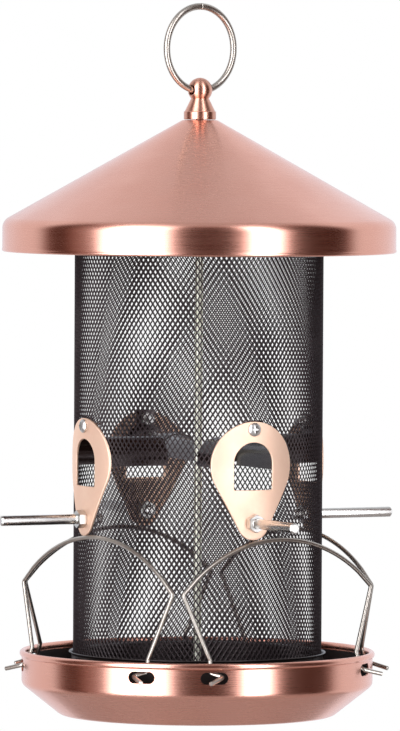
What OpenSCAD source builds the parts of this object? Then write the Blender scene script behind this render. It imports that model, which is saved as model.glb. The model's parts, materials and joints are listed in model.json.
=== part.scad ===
// Hanging seed feeder.
// A mesh seed tube stands in a round catch tray under a conical roof. A rod through the middle
// ties tray, tube and roof together, and a turned finial with a hanging ring closes the top.
// Four feeding ports with perches sit round the tube, and four wire guards stand in slots of
// the tray wall.
// Millimetres. The origin is at the centre of the tray's underside, +Z points up, and the
// ports face -Y, -X, +X and +Y.

/* [Roof] */
// Outer radius of the roof's rim
roof_r = 100; // [90:0.5:125]
// Angle of the roof's cone from level
roof_slope = 29.5; // [20:0.5:36]
// Height of the upright rim below the cone
roof_rim_h = 15.4; // [11:0.1:22]
// Radius of the rounded shoulder between cone and rim
roof_shoulder_r = 6; // [3:0.1:9]
// Radius of the flat top that the finial stands on
roof_top_r = 8.9; // [8.5:0.1:12]
// Sheet thickness of the roof
roof_sheet = 0.8; // [0.5:0.1:1.2]
// Radius of the rolled lower edge
roof_roll_r = 1.1; // [0.8:0.1:1.6]

/* [Seed tube] */
// Outer radius of the mesh tube
tube_r = 63.2; // [52:0.1:76]
// Height of the mesh tube
tube_h = 267.2; // [222:0.1:321]
// Wall thickness of the mesh tube
tube_wall = 0.6; // [0.5:0.1:1.2]
// Height of the hem ring's skirt on the tube's upper edge
hem_skirt_h = 6; // [4:0.5:10]
// Thickness of the hem ring over the tube's upper edge
hem_cap_h = 1.8; // [1:0.1:3]
// Height of the strip that holds the tube's lower end
base_ring_h = 30.4; // [24:0.1:36]
// Sheet thickness of the base and hem rings
ring_sheet = 0.8; // [0.6:0.1:1]

/* [Tray] */
// Width of the seed ledge, from the tube to the tray wall's outer face
tray_ledge = 26.1; // [22:0.1:32]
// Height of the tray
tray_h = 32.8; // [31:0.1:40]
// Sheet thickness of the tray
tray_sheet = 0.8; // [0.6:0.1:1.2]
// Angle of the tray's slanted side from level
tray_slant = 38.5; // [30:0.5:45]
// Width of the flat floor outside the base ring
tray_floor_margin = 4.7; // [3:0.1:6]
// Radius of the centre boss
boss_r = 16; // [13:0.5:20]
// Depth of the recess under the centre boss
boss_recess = 8.2; // [7.5:0.1:9.5]
// Half width of the rolled rim bead
bead_r = 1.5; // [1.2:0.1:1.8]
// Length of a wall slot
slot_length = 13.9; // [12:0.1:16]
// Height of a wall slot
slot_height = 6.1; // [5:0.1:7]
// Depth of a slot's centre below the rim
slot_drop = 6.9; // [6.5:0.1:8.5]
// Radius of a drain hole
drain_r = 1.5; // [1:0.1:2]

/* [Feeding ports] */
// Height of the window arch's centre above the tray floor
port_height = 129.9; // [110:0.1:150]
// Radius of the plate's broad upper end
plate_top_r = 22.1; // [19:0.1:24]
// Radius of the plate's narrow lower end
plate_low_r = 8.6; // [7:0.1:10]
// Distance between the plate's two end centres
plate_span = 28.9; // [26:0.1:34]
// Thickness of the plate
plate_t = 1; // [0.6:0.1:1.6]
// Half width of the feeding window
window_r = 10.7; // [8:0.1:12]
// Depth of the window below its arch centre
window_drop = 13.2; // [10:0.1:14]
// Length of the hood behind a window
hood_length = 40.7; // [25:0.1:41]
// Wall of the hood
hood_wall = 0.8; // [0.6:0.1:1]
// Length of the hood's straight sides below the arch
hood_side = 3; // [2:0.1:6]
// Width of the hood's flange on the tube
flange_w = 3; // [2:0.1:4]
// Radius of a perch rod
perch_r = 2.6; // [2:0.1:3]
// Length of a perch outside the tube
perch_reach = 47; // [38:0.5:57]
// Length of a perch inside the tube
perch_inside = 8.6; // [7:0.1:11]
// Radius of a port screw's shank
screw_r = 1.7; // [1.4:0.05:2]
// Radius of a port screw's head
screw_head_r = 3.4; // [3:0.1:3.8]

/* [Rod and finial] */
// Radius of the centre rod
rod_r = 2; // [1.6:0.1:2.6]
// Radius of the finial's band
finial_band_r = 8.2; // [7:0.1:8.4]
// Height of the finial's band
finial_band_h = 4; // [3:0.1:5]
// Height of the finial's cone
finial_cone_h = 6.7; // [5:0.1:9]
// Radius of the finial's waist
finial_waist_r = 4.5; // [4.2:0.1:5.2]
// Radius of the finial's ball
finial_ball_r = 6.2; // [5.8:0.1:7]
// Radius of the cross hole through the ball
eye_r = 2.5; // [2.3:0.1:2.8]
// Mean radius of the hanging ring
ring_r = 21.4; // [17.8:0.1:25.7]
// Wire radius of the hanging ring
ring_wire_r = 1.7; // [1.4:0.1:1.8]
// Direction of the cross hole through the ball
eye_turn = 12; // [0:1:45]

/* [Wire guards] */
// Wire radius of a guard
guard_wire_r = 1.1; // [0.9:0.05:1.3]
// Turn of the guards from the ports
guard_turn = 12.8; // [8:0.1:18]
// Height of a guard's corners
guard_corner_z = 66.7; // [60:0.1:76]
// Half width of a guard between its corners
guard_corner_w = 60.9; // [52:0.1:66]
// Rise of a guard's arch above its corners
guard_rise = 25.6; // [21:0.1:31]
// Reach of a guard's bent tips outside the tray wall
guard_tip_reach = 8.2; // [6:0.1:10]

/* [Fits] */
// Gap between pieces that lift or turn apart
lift_gap = 0.3; // [0.2:0.05:0.5]
// Radial clearance of the finial on the rod
thread_gap = 0.05; // [0.02:0.01:0.1]
// Radial clearance of a screw or rod in a plain hole
hole_gap = 0.1; // [0.05:0.05:0.3]
// Clearance between a guard's arch and the tube
guard_gap = 1.1; // [0.6:0.1:2]

/* [Hidden] */
$fn = 72;
over = 1;
arc_steps = 8;
mount_fn = 64;

// Ports stand a quarter turn apart. Their order is front, left, right, back.
port_turns = [270, 180, 0, 90];
side_count = 4;

// Fasteners. The perch nuts are of M5 size, and the rod's nuts and washers of M4 size.
perch_nut_af = 8;
perch_nut_h = 4;
rod_nut_af = 7;
rod_nut_h = 3.2;
screw_nut_af = 6;
screw_nut_h = 2.6;
washer_r = 4.5;
washer_t = 0.8;
screw_length = 9;
screw_head_h = 2.3;
screw_head_edge = 0.7;
recess_w = 0.9;
recess_reach = 2;
recess_depth = 1.2;
chamfer = 0.6;

// Heights and radii that follow from the sizes above
tube_low_z = tray_sheet;
tube_top_z = tube_low_z + tube_h;
tube_in_r = tube_r - tube_wall;
hem_gap = 0.05;
hem_r = tube_r + hem_gap + ring_sheet;
hem_top_z = tube_top_z + hem_cap_h;
roof_top_z = hem_top_z + lift_gap + roof_sheet / cos(roof_slope) + (hem_r - roof_top_r) * tan(roof_slope);
roof_shoulder_z = roof_top_z - (roof_r - roof_top_r) * tan(roof_slope);
roof_edge_z = roof_shoulder_z - roof_rim_h;
roof_hole_gap = 0.5;
roof_hole_r = rod_r + roof_hole_gap;
roof_roll_proud = 0.2;

lip_r = 1.2;
lip_turn = 70;
lip_reach = 1.1;
base_in_r = tube_r + hem_gap;
base_r = base_in_r + ring_sheet;
base_seam_turn = 310;
base_seam_w = 0.4;

tray_r = tube_r + tray_ledge;
tray_floor_r = base_r + tray_floor_margin + ring_sheet;
tray_slant_z = (tray_r - tray_floor_r) * tan(tray_slant);
tray_bend_r = 4;
tray_foot_bend_r = 6;
bead_h = 2.2 * bead_r;
bead_wall_inset = 0.5;
slot_z = tray_h - slot_drop;
drain_count = 8;
drain_turn = 40;
drain_gap = 0.25;
drain_ring_r = base_r + drain_r + drain_gap;
boss_draft = 1.5;
boss_bend_r = 1;
boss_top_z = boss_recess + tray_sheet;
disc_gap = 0.2;

port_z = tube_low_z + port_height;
plate_r = tube_r + plate_t;
screw_inset = 4;
screw_over_hood = 5.7;
window_corner_r = 1;
hood_r = window_r + hood_wall;
screw_z = port_z + hood_r + screw_over_hood;
plate_top_z = screw_z + screw_inset - plate_top_r;
perch_z = plate_top_z - plate_span;
flange_t = 0.8;
tab_w = 5;
tab_over = 4.5;

rod_low_z = 1.2;
rod_in_cone = 5.5;
finial_z = roof_top_z + lift_gap;
rod_top_z = finial_z + finial_band_h + rod_in_cone;
waist_z = finial_z + finial_band_h + finial_cone_h;
ball_z = waist_z + sqrt(finial_ball_r * finial_ball_r - finial_waist_r * finial_waist_r);
ring_drop = 0.45;
ring_centre_z = ball_z - ring_drop + ring_r;
ring_slit = 1;

// Guard stations in the guard's own frame: X points out through its middle.
guard_hinge_turn = 30.2;
guard_leg_turn = 34.4;
guard_foot_turn = 34.2;
guard_tip_turn = 34.7;
guard_leg_inset = 5.3;
guard_leg_over = 1.2;
guard_foot_inset = 3.5;
guard_foot_over = 1.8;
guard_tip_drop = 2.6;
slot_turn = 33.15;
guard_hinge_r = tray_r - tray_sheet / 2;
guard_hinge_x = guard_hinge_r * cos(guard_hinge_turn);
guard_top_x = tube_r + guard_gap + guard_wire_r;
guard_corner_inset = 0.8;
guard_corner_x = guard_top_x - guard_corner_inset;
guard_bend_r = 1.6;
bend_steps = 4;
arch_steps = 20;
wire_sides = 12;

// ---- Sheet outlines -------------------------------------------------------------------

function unit(v) = v / norm(v);

function left_of(v) = [-v[1], v[0]];

// Sign of the turn that a line takes at b on its way from a to c: 1 to the left
function turn_sign(a, b, c) = sign(cross(b - a, c - b));

// Corner b of the line a-b-c moved t to the left, so that both stretches move by t
function moved_corner(a, b, c, t) =
  let (n = left_of(unit(b - a)), m = unit(n + left_of(unit(c - b)))) b + m * t / (m * n);

function moved_line(line, t) = [
  for (i = [0 : len(line) - 1])
    i == 0 ? line[0] + left_of(unit(line[1] - line[0])) * t
    : i == len(line) - 1 ? line[i] + left_of(unit(line[i] - line[i - 1])) * t
    : moved_corner(line[i - 1], line[i], line[i + 1], t)
];

// Points of the round of radius r that replaces corner b of the line a-b-c
function round_corner(a, b, c, r) =
  let (
    u = unit(a - b),
    w = unit(c - b),
    half = acos(u * w) / 2,
    middle = b + unit(u + w) * r / sin(half),
    first = b + u * r / tan(half) - middle,
    sweep = (180 - 2 * half) * turn_sign(a, b, c)
  )
  [for (i = [0 : arc_steps]) middle + turned(first, sweep * i / arc_steps)];

function turned(v, angle) = [v[0] * cos(angle) - v[1] * sin(angle), v[0] * sin(angle) + v[1] * cos(angle)];

function rounded_line(line, radii) = [
  line[0],
  for (i = [1 : len(line) - 2]) each round_corner(line[i - 1], line[i], line[i + 1], radii[i - 1]),
  line[len(line) - 1]
];

function reversed(list) = [for (i = [len(list) - 1 : -1 : 0]) list[i]];

// Radii of the rounds on the line's moved copy
function moved_radii(line, radii, t) = [
  for (i = [1 : len(line) - 2]) radii[i - 1] - t * turn_sign(line[i - 1], line[i], line[i + 1])
];

function arc_points(centre, r, from, to, steps) = [
  for (i = [0 : steps]) let (a = from + (to - from) * i / steps) centre + r * [cos(a), sin(a)]
];

// Section of a bent sheet: one face follows line, the other lies t to its left, and edge holds
// the points of a rolled edge at the line's far end
module sheet_section(line, radii, t, edge = []) {
  near = rounded_line(line, radii);
  far = rounded_line(moved_line(line, t), moved_radii(line, radii, t));
  polygon(concat(near, edge, reversed(far)));
}

// ---- Shared shapes --------------------------------------------------------------------

module tube_shell(outer_r, inner_r, low_z, high_z) {
  translate([0, 0, low_z])
    difference() {
      cylinder(r = outer_r, h = high_z - low_z, $fn = 180);
      translate([0, 0, -over]) cylinder(r = inner_r, h = high_z - low_z + 2 * over, $fn = 180);
    }
}

// Prism along +X from x0 to x1 whose section is drawn in the YZ plane
module outward(x0, x1) {
  translate([x0, 0, 0]) rotate([90, 0, 90]) linear_extrude(height = x1 - x0) children();
}

// Round bar along +X
module bar_x(x0, x1, r) {
  translate([x0, 0, 0]) rotate([0, 90, 0]) cylinder(r = r, h = x1 - x0, $fn = mount_fn);
}

module hex_nut(across_flats, h, bore_r) {
  corner_r = across_flats / 2 / cos(30);
  difference() {
    intersection() {
      cylinder(r = corner_r, h = h, $fn = 6);
      union() {
        cylinder(r1 = corner_r - chamfer, r2 = corner_r, h = chamfer / 2, $fn = mount_fn);
        translate([0, 0, chamfer / 2]) cylinder(r = corner_r, h = h - chamfer, $fn = mount_fn);
        translate([0, 0, h - chamfer / 2])
          cylinder(r1 = corner_r, r2 = corner_r - chamfer, h = chamfer / 2, $fn = mount_fn);
      }
    }
    translate([0, 0, -over]) cylinder(r = bore_r, h = h + 2 * over, $fn = mount_fn);
  }
}

// Distance from the tube's axis at which a flat face of the given half width meets a wall inside r
function flat_inside(r, half_w) = sqrt(r * r - half_w * half_w);

// Puts its children at every port, the port's outward direction along +X
module at_ports() {
  for (turn = port_turns) rotate([0, 0, turn]) children();
}

module at_port(i) {
  rotate([0, 0, port_turns[i]]) children();
}

// ---- Tray and tube --------------------------------------------------------------------

module tray() {
  bead_x = tray_r - bead_wall_inset;
  bead_low = [bead_x, tray_h - bead_h + bead_r];
  bead_high = [bead_x, tray_h - bead_r];
  under = [
    [rod_r + hole_gap, boss_recess], [boss_r - boss_draft, boss_recess], [boss_r, 0],
    [tray_floor_r, 0], [tray_r, tray_slant_z], [tray_r, tray_h - bead_h - bead_wall_inset]
  ];
  bends = [boss_bend_r, boss_bend_r + tray_sheet, tray_foot_bend_r, tray_bend_r];
  bead = concat(
    arc_points(bead_low, bead_r, -acos(bead_wall_inset / bead_r), 0, arc_steps),
    arc_points(bead_high, bead_r, 0, 180, 2 * arc_steps),
    arc_points(bead_low, bead_r, 180, 180 + acos((tray_sheet - bead_wall_inset) / bead_r), arc_steps)
  );
  color("peru")
    difference() {
      rotate_extrude($fn = 180) sheet_section(under, bends, tray_sheet, bead);
      for (i = [0 : side_count - 1], side = [-1, 1])
        rotate([0, 0, guard_angle(i) + side * slot_turn]) tray_slot();
      for (i = [0 : drain_count - 1])
        rotate([0, 0, drain_turn + i * 360 / drain_count])
          translate([drain_ring_r, 0, -over]) cylinder(r = drain_r, h = tray_slant_z, $fn = 32);
    }
}

// Oblong cutter through the wall at its own middle
module tray_slot() {
  half = (slot_length - slot_height) / 2;
  wall_in = tray_r - 2 * tray_sheet;
  wall_out = tray_r + tray_sheet;
  translate([0, 0, slot_z]) {
    for (side = [-1, 1]) translate([0, side * half, 0]) bar_x(wall_in, wall_out, slot_height / 2);
    translate([wall_in, -half, -slot_height / 2]) cube([wall_out - wall_in, 2 * half, slot_height]);
  }
}

module base_ring() {
  lip_z = tube_low_z + base_ring_h;
  corner = [base_r, lip_z];
  strip = [[base_r, tube_low_z], corner, corner + lip_reach * [sin(lip_turn), cos(lip_turn)]];
  color("#2b2624")
    difference() {
      rotate_extrude($fn = 180) sheet_section(strip, [lip_r], ring_sheet);
      rotate([0, 0, base_seam_turn])
        translate([tube_r - over, -base_seam_w / 2, 0]) cube([4 * over, base_seam_w, lip_z + 2 * lip_reach]);
    }
}

module floor_disc() {
  color("#2b2624")
    tube_shell(tube_in_r - disc_gap, rod_r + hole_gap, boss_top_z, boss_top_z + tray_sheet);
}

module mesh_tube() {
  color("#3a3533")
    difference() {
      tube_shell(tube_r, tube_in_r, tube_low_z, tube_top_z);
      at_ports() {
        outward(flat_inside(tube_in_r, hood_r + hole_gap) - over, tube_r + over)
          window_outline(hood_r + hole_gap, window_drop + hole_gap);
        translate([0, 0, perch_z]) bar_x(tube_in_r - over, tube_r + over, perch_r + hole_gap);
        translate([0, 0, screw_z]) bar_x(tube_in_r - over, tube_r + over, screw_r + hole_gap);
      }
    }
}

module top_ring() {
  inner_r = tube_in_r - hem_gap - ring_sheet;
  skirt_z = tube_top_z - hem_skirt_h;
  color("#2b2624")
    difference() {
      rotate_extrude($fn = 180)
        translate([inner_r, skirt_z]) square([hem_r - inner_r, hem_skirt_h + hem_cap_h]);
      tube_shell(tube_r + hem_gap, tube_in_r - hem_gap, skirt_z - over, tube_top_z);
    }
}

// ---- Rod and its fasteners ------------------------------------------------------------

module tie_rod() {
  color("#c9c39a") {
    translate([0, 0, rod_low_z]) cylinder(r1 = rod_r - chamfer, r2 = rod_r, h = chamfer);
    translate([0, 0, rod_low_z + chamfer]) cylinder(r = rod_r, h = rod_top_z - rod_low_z - 2 * chamfer);
    translate([0, 0, rod_top_z - chamfer]) cylinder(r1 = rod_r, r2 = rod_r - chamfer, h = chamfer);
  }
}

// One nut under the tray's boss and one on the floor disc
module rod_nuts() {
  color("silver")
    for (z = [boss_recess - washer_t - rod_nut_h, boss_top_z + tray_sheet + washer_t])
      translate([0, 0, z]) hex_nut(rod_nut_af, rod_nut_h, rod_r);
}

module rod_washers() {
  color("silver")
    for (z = [boss_recess - washer_t, boss_top_z + tray_sheet])
      tube_shell(washer_r, rod_r, z, z + washer_t);
}

// ---- Feeding ports --------------------------------------------------------------------

// Egg shape of two circles joined by their outer tangents, broad end up
module plate_outline() {
  lean = asin((plate_top_r - plate_low_r) / plate_span);
  reach = [cos(lean), -sin(lean)];
  mirrored = [-reach[0], reach[1]];
  high = [0, plate_top_z];
  low = [0, perch_z];
  translate(high) circle(r = plate_top_r, $fn = 96);
  translate(low) circle(r = plate_low_r, $fn = 64);
  polygon([high + plate_top_r * reach, high + plate_top_r * mirrored,
    low + plate_low_r * mirrored, low + plate_low_r * reach]);
}

// Arched opening: a half round on a box with slightly rounded lower corners
module window_outline(half_w, drop) {
  corner = window_corner_r;
  translate([0, port_z]) intersection() {
    circle(r = half_w, $fn = 72);
    translate([-half_w, 0]) square([2 * half_w, half_w]);
  }
  translate([-half_w, port_z - drop + corner]) square([2 * half_w, drop - corner]);
  translate([-half_w + corner, port_z - drop]) square([2 * (half_w - corner), 2 * corner]);
  for (side = [-1, 1])
    translate([side * (half_w - corner), port_z - drop + corner]) circle(r = corner, $fn = 24);
}

// Plate curved to the tube
module port_plate() {
  color("#c98b6b")
    difference() {
      intersection() {
        tube_shell(plate_r, tube_r, perch_z - 2 * plate_low_r, screw_z + 2 * screw_inset);
        outward(tube_r / 2, plate_r + over) plate_outline();
      }
      outward(tube_r / 2, plate_r + over) window_outline(window_r, window_drop);
      translate([0, 0, perch_z]) bar_x(tube_r / 2, plate_r + over, perch_r + hole_gap);
      translate([0, 0, screw_z]) bar_x(tube_r / 2, plate_r + over, screw_r + hole_gap);
    }
}

// Half-round tunnel behind a window, open below, with a flange that the port screw holds
module port_hood() {
  color("#1f1b1a") {
    intersection() {
      cylinder(r = tube_r, h = tube_top_z, $fn = 180);
      outward(tube_r - hood_length, tube_r + over) hood_outline(window_r, hood_r);
    }
    difference() {
      intersection() {
        tube_shell(tube_in_r, tube_in_r - flange_t, port_z - hood_side, screw_z + tab_over);
        outward(tube_r / 2, tube_r) {
          hood_outline(hood_r - hood_wall / 2, hood_r + flange_w);
          translate([-tab_w, port_z + hood_r]) square([2 * tab_w, screw_z + tab_over - port_z - hood_r]);
        }
      }
      outward(tube_r / 2, tube_r + over) window_outline(window_r, window_drop);
      translate([0, 0, screw_z]) bar_x(tube_r / 2, tube_r, screw_r + hole_gap);
    }
  }
}

// Section of the hood: an arch of the given inner and outer radius on short straight sides
module hood_outline(inner_r, outer_r) {
  translate([0, port_z]) {
    difference() {
      circle(r = outer_r, $fn = 96);
      circle(r = inner_r, $fn = 96);
      translate([-outer_r - over, -outer_r - over]) square([2 * (outer_r + over), outer_r + over]);
    }
    for (x = [-outer_r, inner_r]) translate([x, -hood_side]) square([outer_r - inner_r, hood_side]);
  }
}

module port_screws() {
  color("silver")
    at_ports() translate([plate_r, 0, screw_z]) port_screw();
}

// Pan-head screw along X with its head's seat at the origin
module port_screw() {
  dome = screw_head_h - screw_head_edge;
  dome_r = (screw_head_r * screw_head_r + dome * dome) / (2 * dome);
  dome_half = asin(screw_head_r / dome_r);
  difference() {
    rotate([0, 90, 0])
      rotate_extrude($fn = mount_fn)
        polygon(concat(
          [[0, -screw_length], [screw_r, -screw_length], [screw_r, 0], [screw_head_r, 0]],
          [for (i = [arc_steps : -1 : 0]) let (a = dome_half * i / arc_steps)
            [dome_r * sin(a), screw_head_h - dome_r + dome_r * cos(a)]]
        ));
    for (turn = [0, 90])
      rotate([turn, 0, 0])
        translate([screw_head_h - recess_depth, -recess_w / 2, -recess_reach])
          cube([recess_depth + over, recess_w, 2 * recess_reach]);
  }
}

module port_screw_nuts() {
  seat = flat_inside(tube_in_r - flange_t, screw_nut_af / 2 / cos(30));
  color("silver")
    at_ports() translate([seat, 0, screw_z]) rotate([0, -90, 0]) hex_nut(screw_nut_af, screw_nut_h, screw_r);
}

module perch() {
  tip = tube_r + perch_reach;
  root = tube_in_r - perch_inside;
  color("gainsboro") translate([0, 0, perch_z]) {
    bar_x(root, tip - chamfer, perch_r);
    translate([tip - chamfer, 0, 0])
      rotate([0, 90, 0]) cylinder(r1 = perch_r, r2 = perch_r - chamfer, h = chamfer);
  }
}

module perch_outer_nuts() {
  color("silver")
    at_ports() translate([plate_r, 0, perch_z]) rotate([0, 90, 0])
      hex_nut(perch_nut_af, perch_nut_h, perch_r);
}

module perch_inner_nuts() {
  seat = flat_inside(tube_in_r, perch_nut_af / 2 / cos(30));
  color("silver")
    at_ports() translate([seat, 0, perch_z]) rotate([0, -90, 0])
      hex_nut(perch_nut_af, perch_nut_h, perch_r);
}

// ---- Roof, finial and hanging ring ----------------------------------------------------

module roof() {
  roll = [roof_r - roof_roll_r + roof_roll_proud, roof_edge_z + roof_roll_r];
  outside = [
    [roof_hole_r, roof_top_z], [roof_top_r, roof_top_z],
    [roof_r, roof_shoulder_z], [roof_r, roof_edge_z + 2 * roof_roll_r + roof_sheet]
  ];
  rolled_edge = arc_points(
    roll, roof_roll_r, acos((roof_r - roll[0]) / roof_roll_r),
    acos((roof_r - roof_sheet - roll[0]) / roof_roll_r) - 360, 3 * arc_steps
  );
  color("peru")
    rotate_extrude($fn = 180)
      sheet_section(outside, [2 * roof_sheet, roof_shoulder_r], -roof_sheet, rolled_edge);
}

module finial() {
  bore_r = rod_r + thread_gap;
  color("#b5764f")
    difference() {
      union() {
        translate([0, 0, finial_z]) cylinder(r = finial_band_r, h = finial_band_h);
        translate([0, 0, finial_z + finial_band_h])
          cylinder(r1 = finial_band_r, r2 = finial_waist_r, h = finial_cone_h);
        translate([0, 0, ball_z]) sphere(r = finial_ball_r, $fn = 96);
      }
      translate([0, 0, finial_z - over]) cylinder(r = bore_r, h = rod_top_z - finial_z + over + lift_gap);
      rotate([0, 0, eye_turn])
        translate([0, 0, ball_z]) bar_x(-finial_ball_r - over, finial_ball_r + over, eye_r);
    }
}

// Split ring through the finial's cross hole
module hanging_ring() {
  color("#8d8378")
    rotate([0, 0, eye_turn])
      translate([0, 0, ring_centre_z]) rotate([90, 0, 0]) rotate([0, 0, 90 + ring_slit / 2])
        rotate_extrude(angle = 360 - ring_slit, $fn = 120)
          translate([ring_r, 0]) circle(r = ring_wire_r, $fn = 32);
}

// ---- Wire guards ----------------------------------------------------------------------

function guard_angle(i) = port_turns[i] + guard_turn;

function at_turn(r, turn, z) = [r * cos(turn), r * sin(turn), z];

// Points of one half of a guard, from its tip outside the wall up to its corner
function guard_half() = [
  at_turn(tray_r + guard_tip_reach, guard_tip_turn, slot_z - guard_tip_drop),
  at_turn(guard_hinge_r, guard_hinge_turn, slot_z),
  at_turn(tray_r - guard_foot_inset, guard_foot_turn, slot_z + guard_foot_over),
  at_turn(tray_r - guard_leg_inset, guard_leg_turn, tray_h + guard_leg_over),
  [guard_corner_x, guard_corner_w, guard_corner_z]
];

// Whole centre line of a guard: one half, the arch and the other half mirrored
function guard_line() =
  let (
    half = guard_half(),
    bends = [for (i = [1 : len(half) - 2]) bend(half[i - 1], half[i], half[i + 1], guard_bend_r)],
    side = concat([half[0]], [for (part = bends) each part], [half[len(half) - 1]])
  )
  concat(side, guard_arch(), [for (p = reversed(side)) across(p)]);

// Inner points of the arch, which is a round arc between the two corners
function guard_arch() =
  let (
    lean = atan((guard_top_x - guard_corner_x) / guard_rise),
    rise = guard_rise / cos(lean),
    arch_r = (guard_corner_w * guard_corner_w + rise * rise) / (2 * rise),
    arch_half = asin(guard_corner_w / arch_r)
  )
  [for (i = [1 : arch_steps - 1])
    let (a = arch_half * (1 - 2 * i / arch_steps), drop = arch_r * (1 - cos(a)))
    [guard_top_x - drop * sin(lean), arch_r * sin(a), guard_corner_z + guard_rise - drop * cos(lean)]];

function across(p) = [p[0], -p[1], p[2]];

// Points of the round of radius r that replaces corner b of a line in space
function bend(a, b, c, r) =
  let (
    u = unit(a - b),
    w = unit(c - b),
    half = acos(u * w) / 2,
    middle = b + unit(u + w) * r / sin(half),
    first = b + u * r / tan(half) - middle,
    last = b + w * r / tan(half) - middle,
    sweep = 180 - 2 * half
  )
  [for (i = [0 : bend_steps])
    let (t = sweep * i / bend_steps) middle + (first * sin(sweep - t) + last * sin(t)) / sin(sweep)];

// Moves a ring of points along a line's next stretch onto the plane that halves its next corner
function next_ring(ring, line, i) =
  let (
    along = unit(line[i] - line[i - 1]),
    cut = i == len(line) - 1 ? along : unit(along + unit(line[i + 1] - line[i]))
  )
  [for (p = ring) p + along * (((line[i] - p) * cut) / (along * cut))];

// Wire of radius r along a line, with a mitre at every point
module wire_along(line, r) {
  along = unit(line[1] - line[0]);
  flat = unit(cross(along, [0, 0, 1]));
  steep = cross(flat, along);
  start = [for (k = [0 : wire_sides - 1])
    line[0] + r * (flat * cos(360 * k / wire_sides) + steep * sin(360 * k / wire_sides))];
  end = len(line);
  rings = [
    for (i = 0, ring = start; i < end; i = i + 1, ring = i < end ? next_ring(ring, line, i) : ring) ring
  ];
  last = (len(rings) - 1) * wire_sides;
  polyhedron(
    points = [for (ring = rings) each ring],
    faces = concat(
      [[for (k = [0 : wire_sides - 1]) k]],
      [for (i = [0 : len(rings) - 2], k = [0 : wire_sides - 1])
        let (n = (k + 1) % wire_sides, a = i * wire_sides, b = a + wire_sides) [a + n, a + k, b + k, b + n]],
      [[for (k = [wire_sides - 1 : -1 : 0]) last + k]]
    )
  );
}

module wire_guard() {
  color("#8d8378") wire_along(guard_line(), guard_wire_r);
}

module guard_on_side(i) {
  rotate([0, 0, guard_angle(i)]) wire_guard();
}

// ---- Nodes ----------------------------------------------------------------------------

tray();
base_ring();
floor_disc();
mesh_tube();
top_ring();
tie_rod();
rod_nuts();
rod_washers();
at_port(0) port_plate();  // port_plate_1
at_port(1) port_plate();  // port_plate_2
at_port(2) port_plate();  // port_plate_3
at_port(3) port_plate();  // port_plate_4
at_port(0) port_hood();  // port_hood_1
at_port(1) port_hood();  // port_hood_2
at_port(2) port_hood();  // port_hood_3
at_port(3) port_hood();  // port_hood_4
port_screws();
port_screw_nuts();
at_port(0) perch();  // perch_1
at_port(1) perch();  // perch_2
at_port(2) perch();  // perch_3
at_port(3) perch();  // perch_4
perch_outer_nuts();
perch_inner_nuts();
roof();
finial();
hanging_ring();
guard_on_side(0);  // wire_guard_1
guard_on_side(1);  // wire_guard_2
guard_on_side(2);  // wire_guard_3
guard_on_side(3);  // wire_guard_4
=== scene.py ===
"""Looks of a hanging seed feeder: copper sheet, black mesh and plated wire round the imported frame.

Every surface is a function of two parameters, worked out on a numpy grid in millimetres and put
into a mesh in metres. Places come from the frame's boxes and joints.
"""

from __future__ import annotations

import json
import logging
import math
from dataclasses import dataclass
from enum import Enum
from typing import Sequence

import bpy
import bmesh
import numpy as np
from mathutils import Matrix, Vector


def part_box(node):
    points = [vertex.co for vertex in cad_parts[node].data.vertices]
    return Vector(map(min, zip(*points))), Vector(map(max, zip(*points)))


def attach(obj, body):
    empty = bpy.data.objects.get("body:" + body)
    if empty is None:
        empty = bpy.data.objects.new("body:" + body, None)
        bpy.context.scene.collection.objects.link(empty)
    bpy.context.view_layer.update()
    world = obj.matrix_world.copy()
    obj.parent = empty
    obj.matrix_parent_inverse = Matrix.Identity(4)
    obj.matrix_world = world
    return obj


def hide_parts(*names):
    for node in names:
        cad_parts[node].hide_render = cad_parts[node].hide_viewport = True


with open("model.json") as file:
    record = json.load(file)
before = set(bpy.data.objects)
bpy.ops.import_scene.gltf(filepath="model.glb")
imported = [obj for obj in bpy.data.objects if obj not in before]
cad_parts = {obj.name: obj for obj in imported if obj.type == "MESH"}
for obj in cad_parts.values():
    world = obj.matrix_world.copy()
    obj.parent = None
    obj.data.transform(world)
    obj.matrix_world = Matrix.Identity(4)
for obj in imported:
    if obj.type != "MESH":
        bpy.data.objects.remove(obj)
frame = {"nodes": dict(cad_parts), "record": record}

MM = 0.001
FULL_TURN = 2 * math.pi
# Points nearer than this share a place, in millimetres
NEAR = 1e-6
# Corner numbers to the millimetre when close corners are welded
WELD = 2e3
# The range that soft noise mostly keeps to
MIDDLE = (0.3, 0.7)
# Steps of a quarter round or less, of a half round, and of an outline's large rounds
FEW_STEPS = 8
MORE_STEPS = 16
MANY_STEPS = 48
# Rings of points between a hole's block and its edge, as shares of the way
COLLAR_RINGS = (0.0, 0.5, 0.85, 1.0)
LOG = logging.getLogger("feeder")


class Body(str, Enum):
    """The moving bodies that a piece can ride on."""

    ROOT = "root"
    ROOF = "roof"
    FINIAL = "finial"
    RING = "ring"
    GUARD_1 = "guard_1"
    GUARD_2 = "guard_2"
    GUARD_3 = "guard_3"
    GUARD_4 = "guard_4"


# ---- Meshes from arrays ------------------------------------------------------------------


@dataclass(frozen=True)
class Patch:
    """A stretch of surface: corner points in millimetres, faces between them, and a finish."""

    points: np.ndarray
    faces: np.ndarray
    finish: int | np.ndarray = 0

    def moved(self, matrix: np.ndarray) -> "Patch":
        """Returns the patch with its points turned by a 3 by 3 matrix."""
        return Patch(self.points @ matrix.T, self.faces, self.finish)

    def raised(self, height: float) -> "Patch":
        """Returns the patch with its points lifted by a height."""
        return Patch(self.points + [0.0, 0.0, height], self.faces, self.finish)


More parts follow.
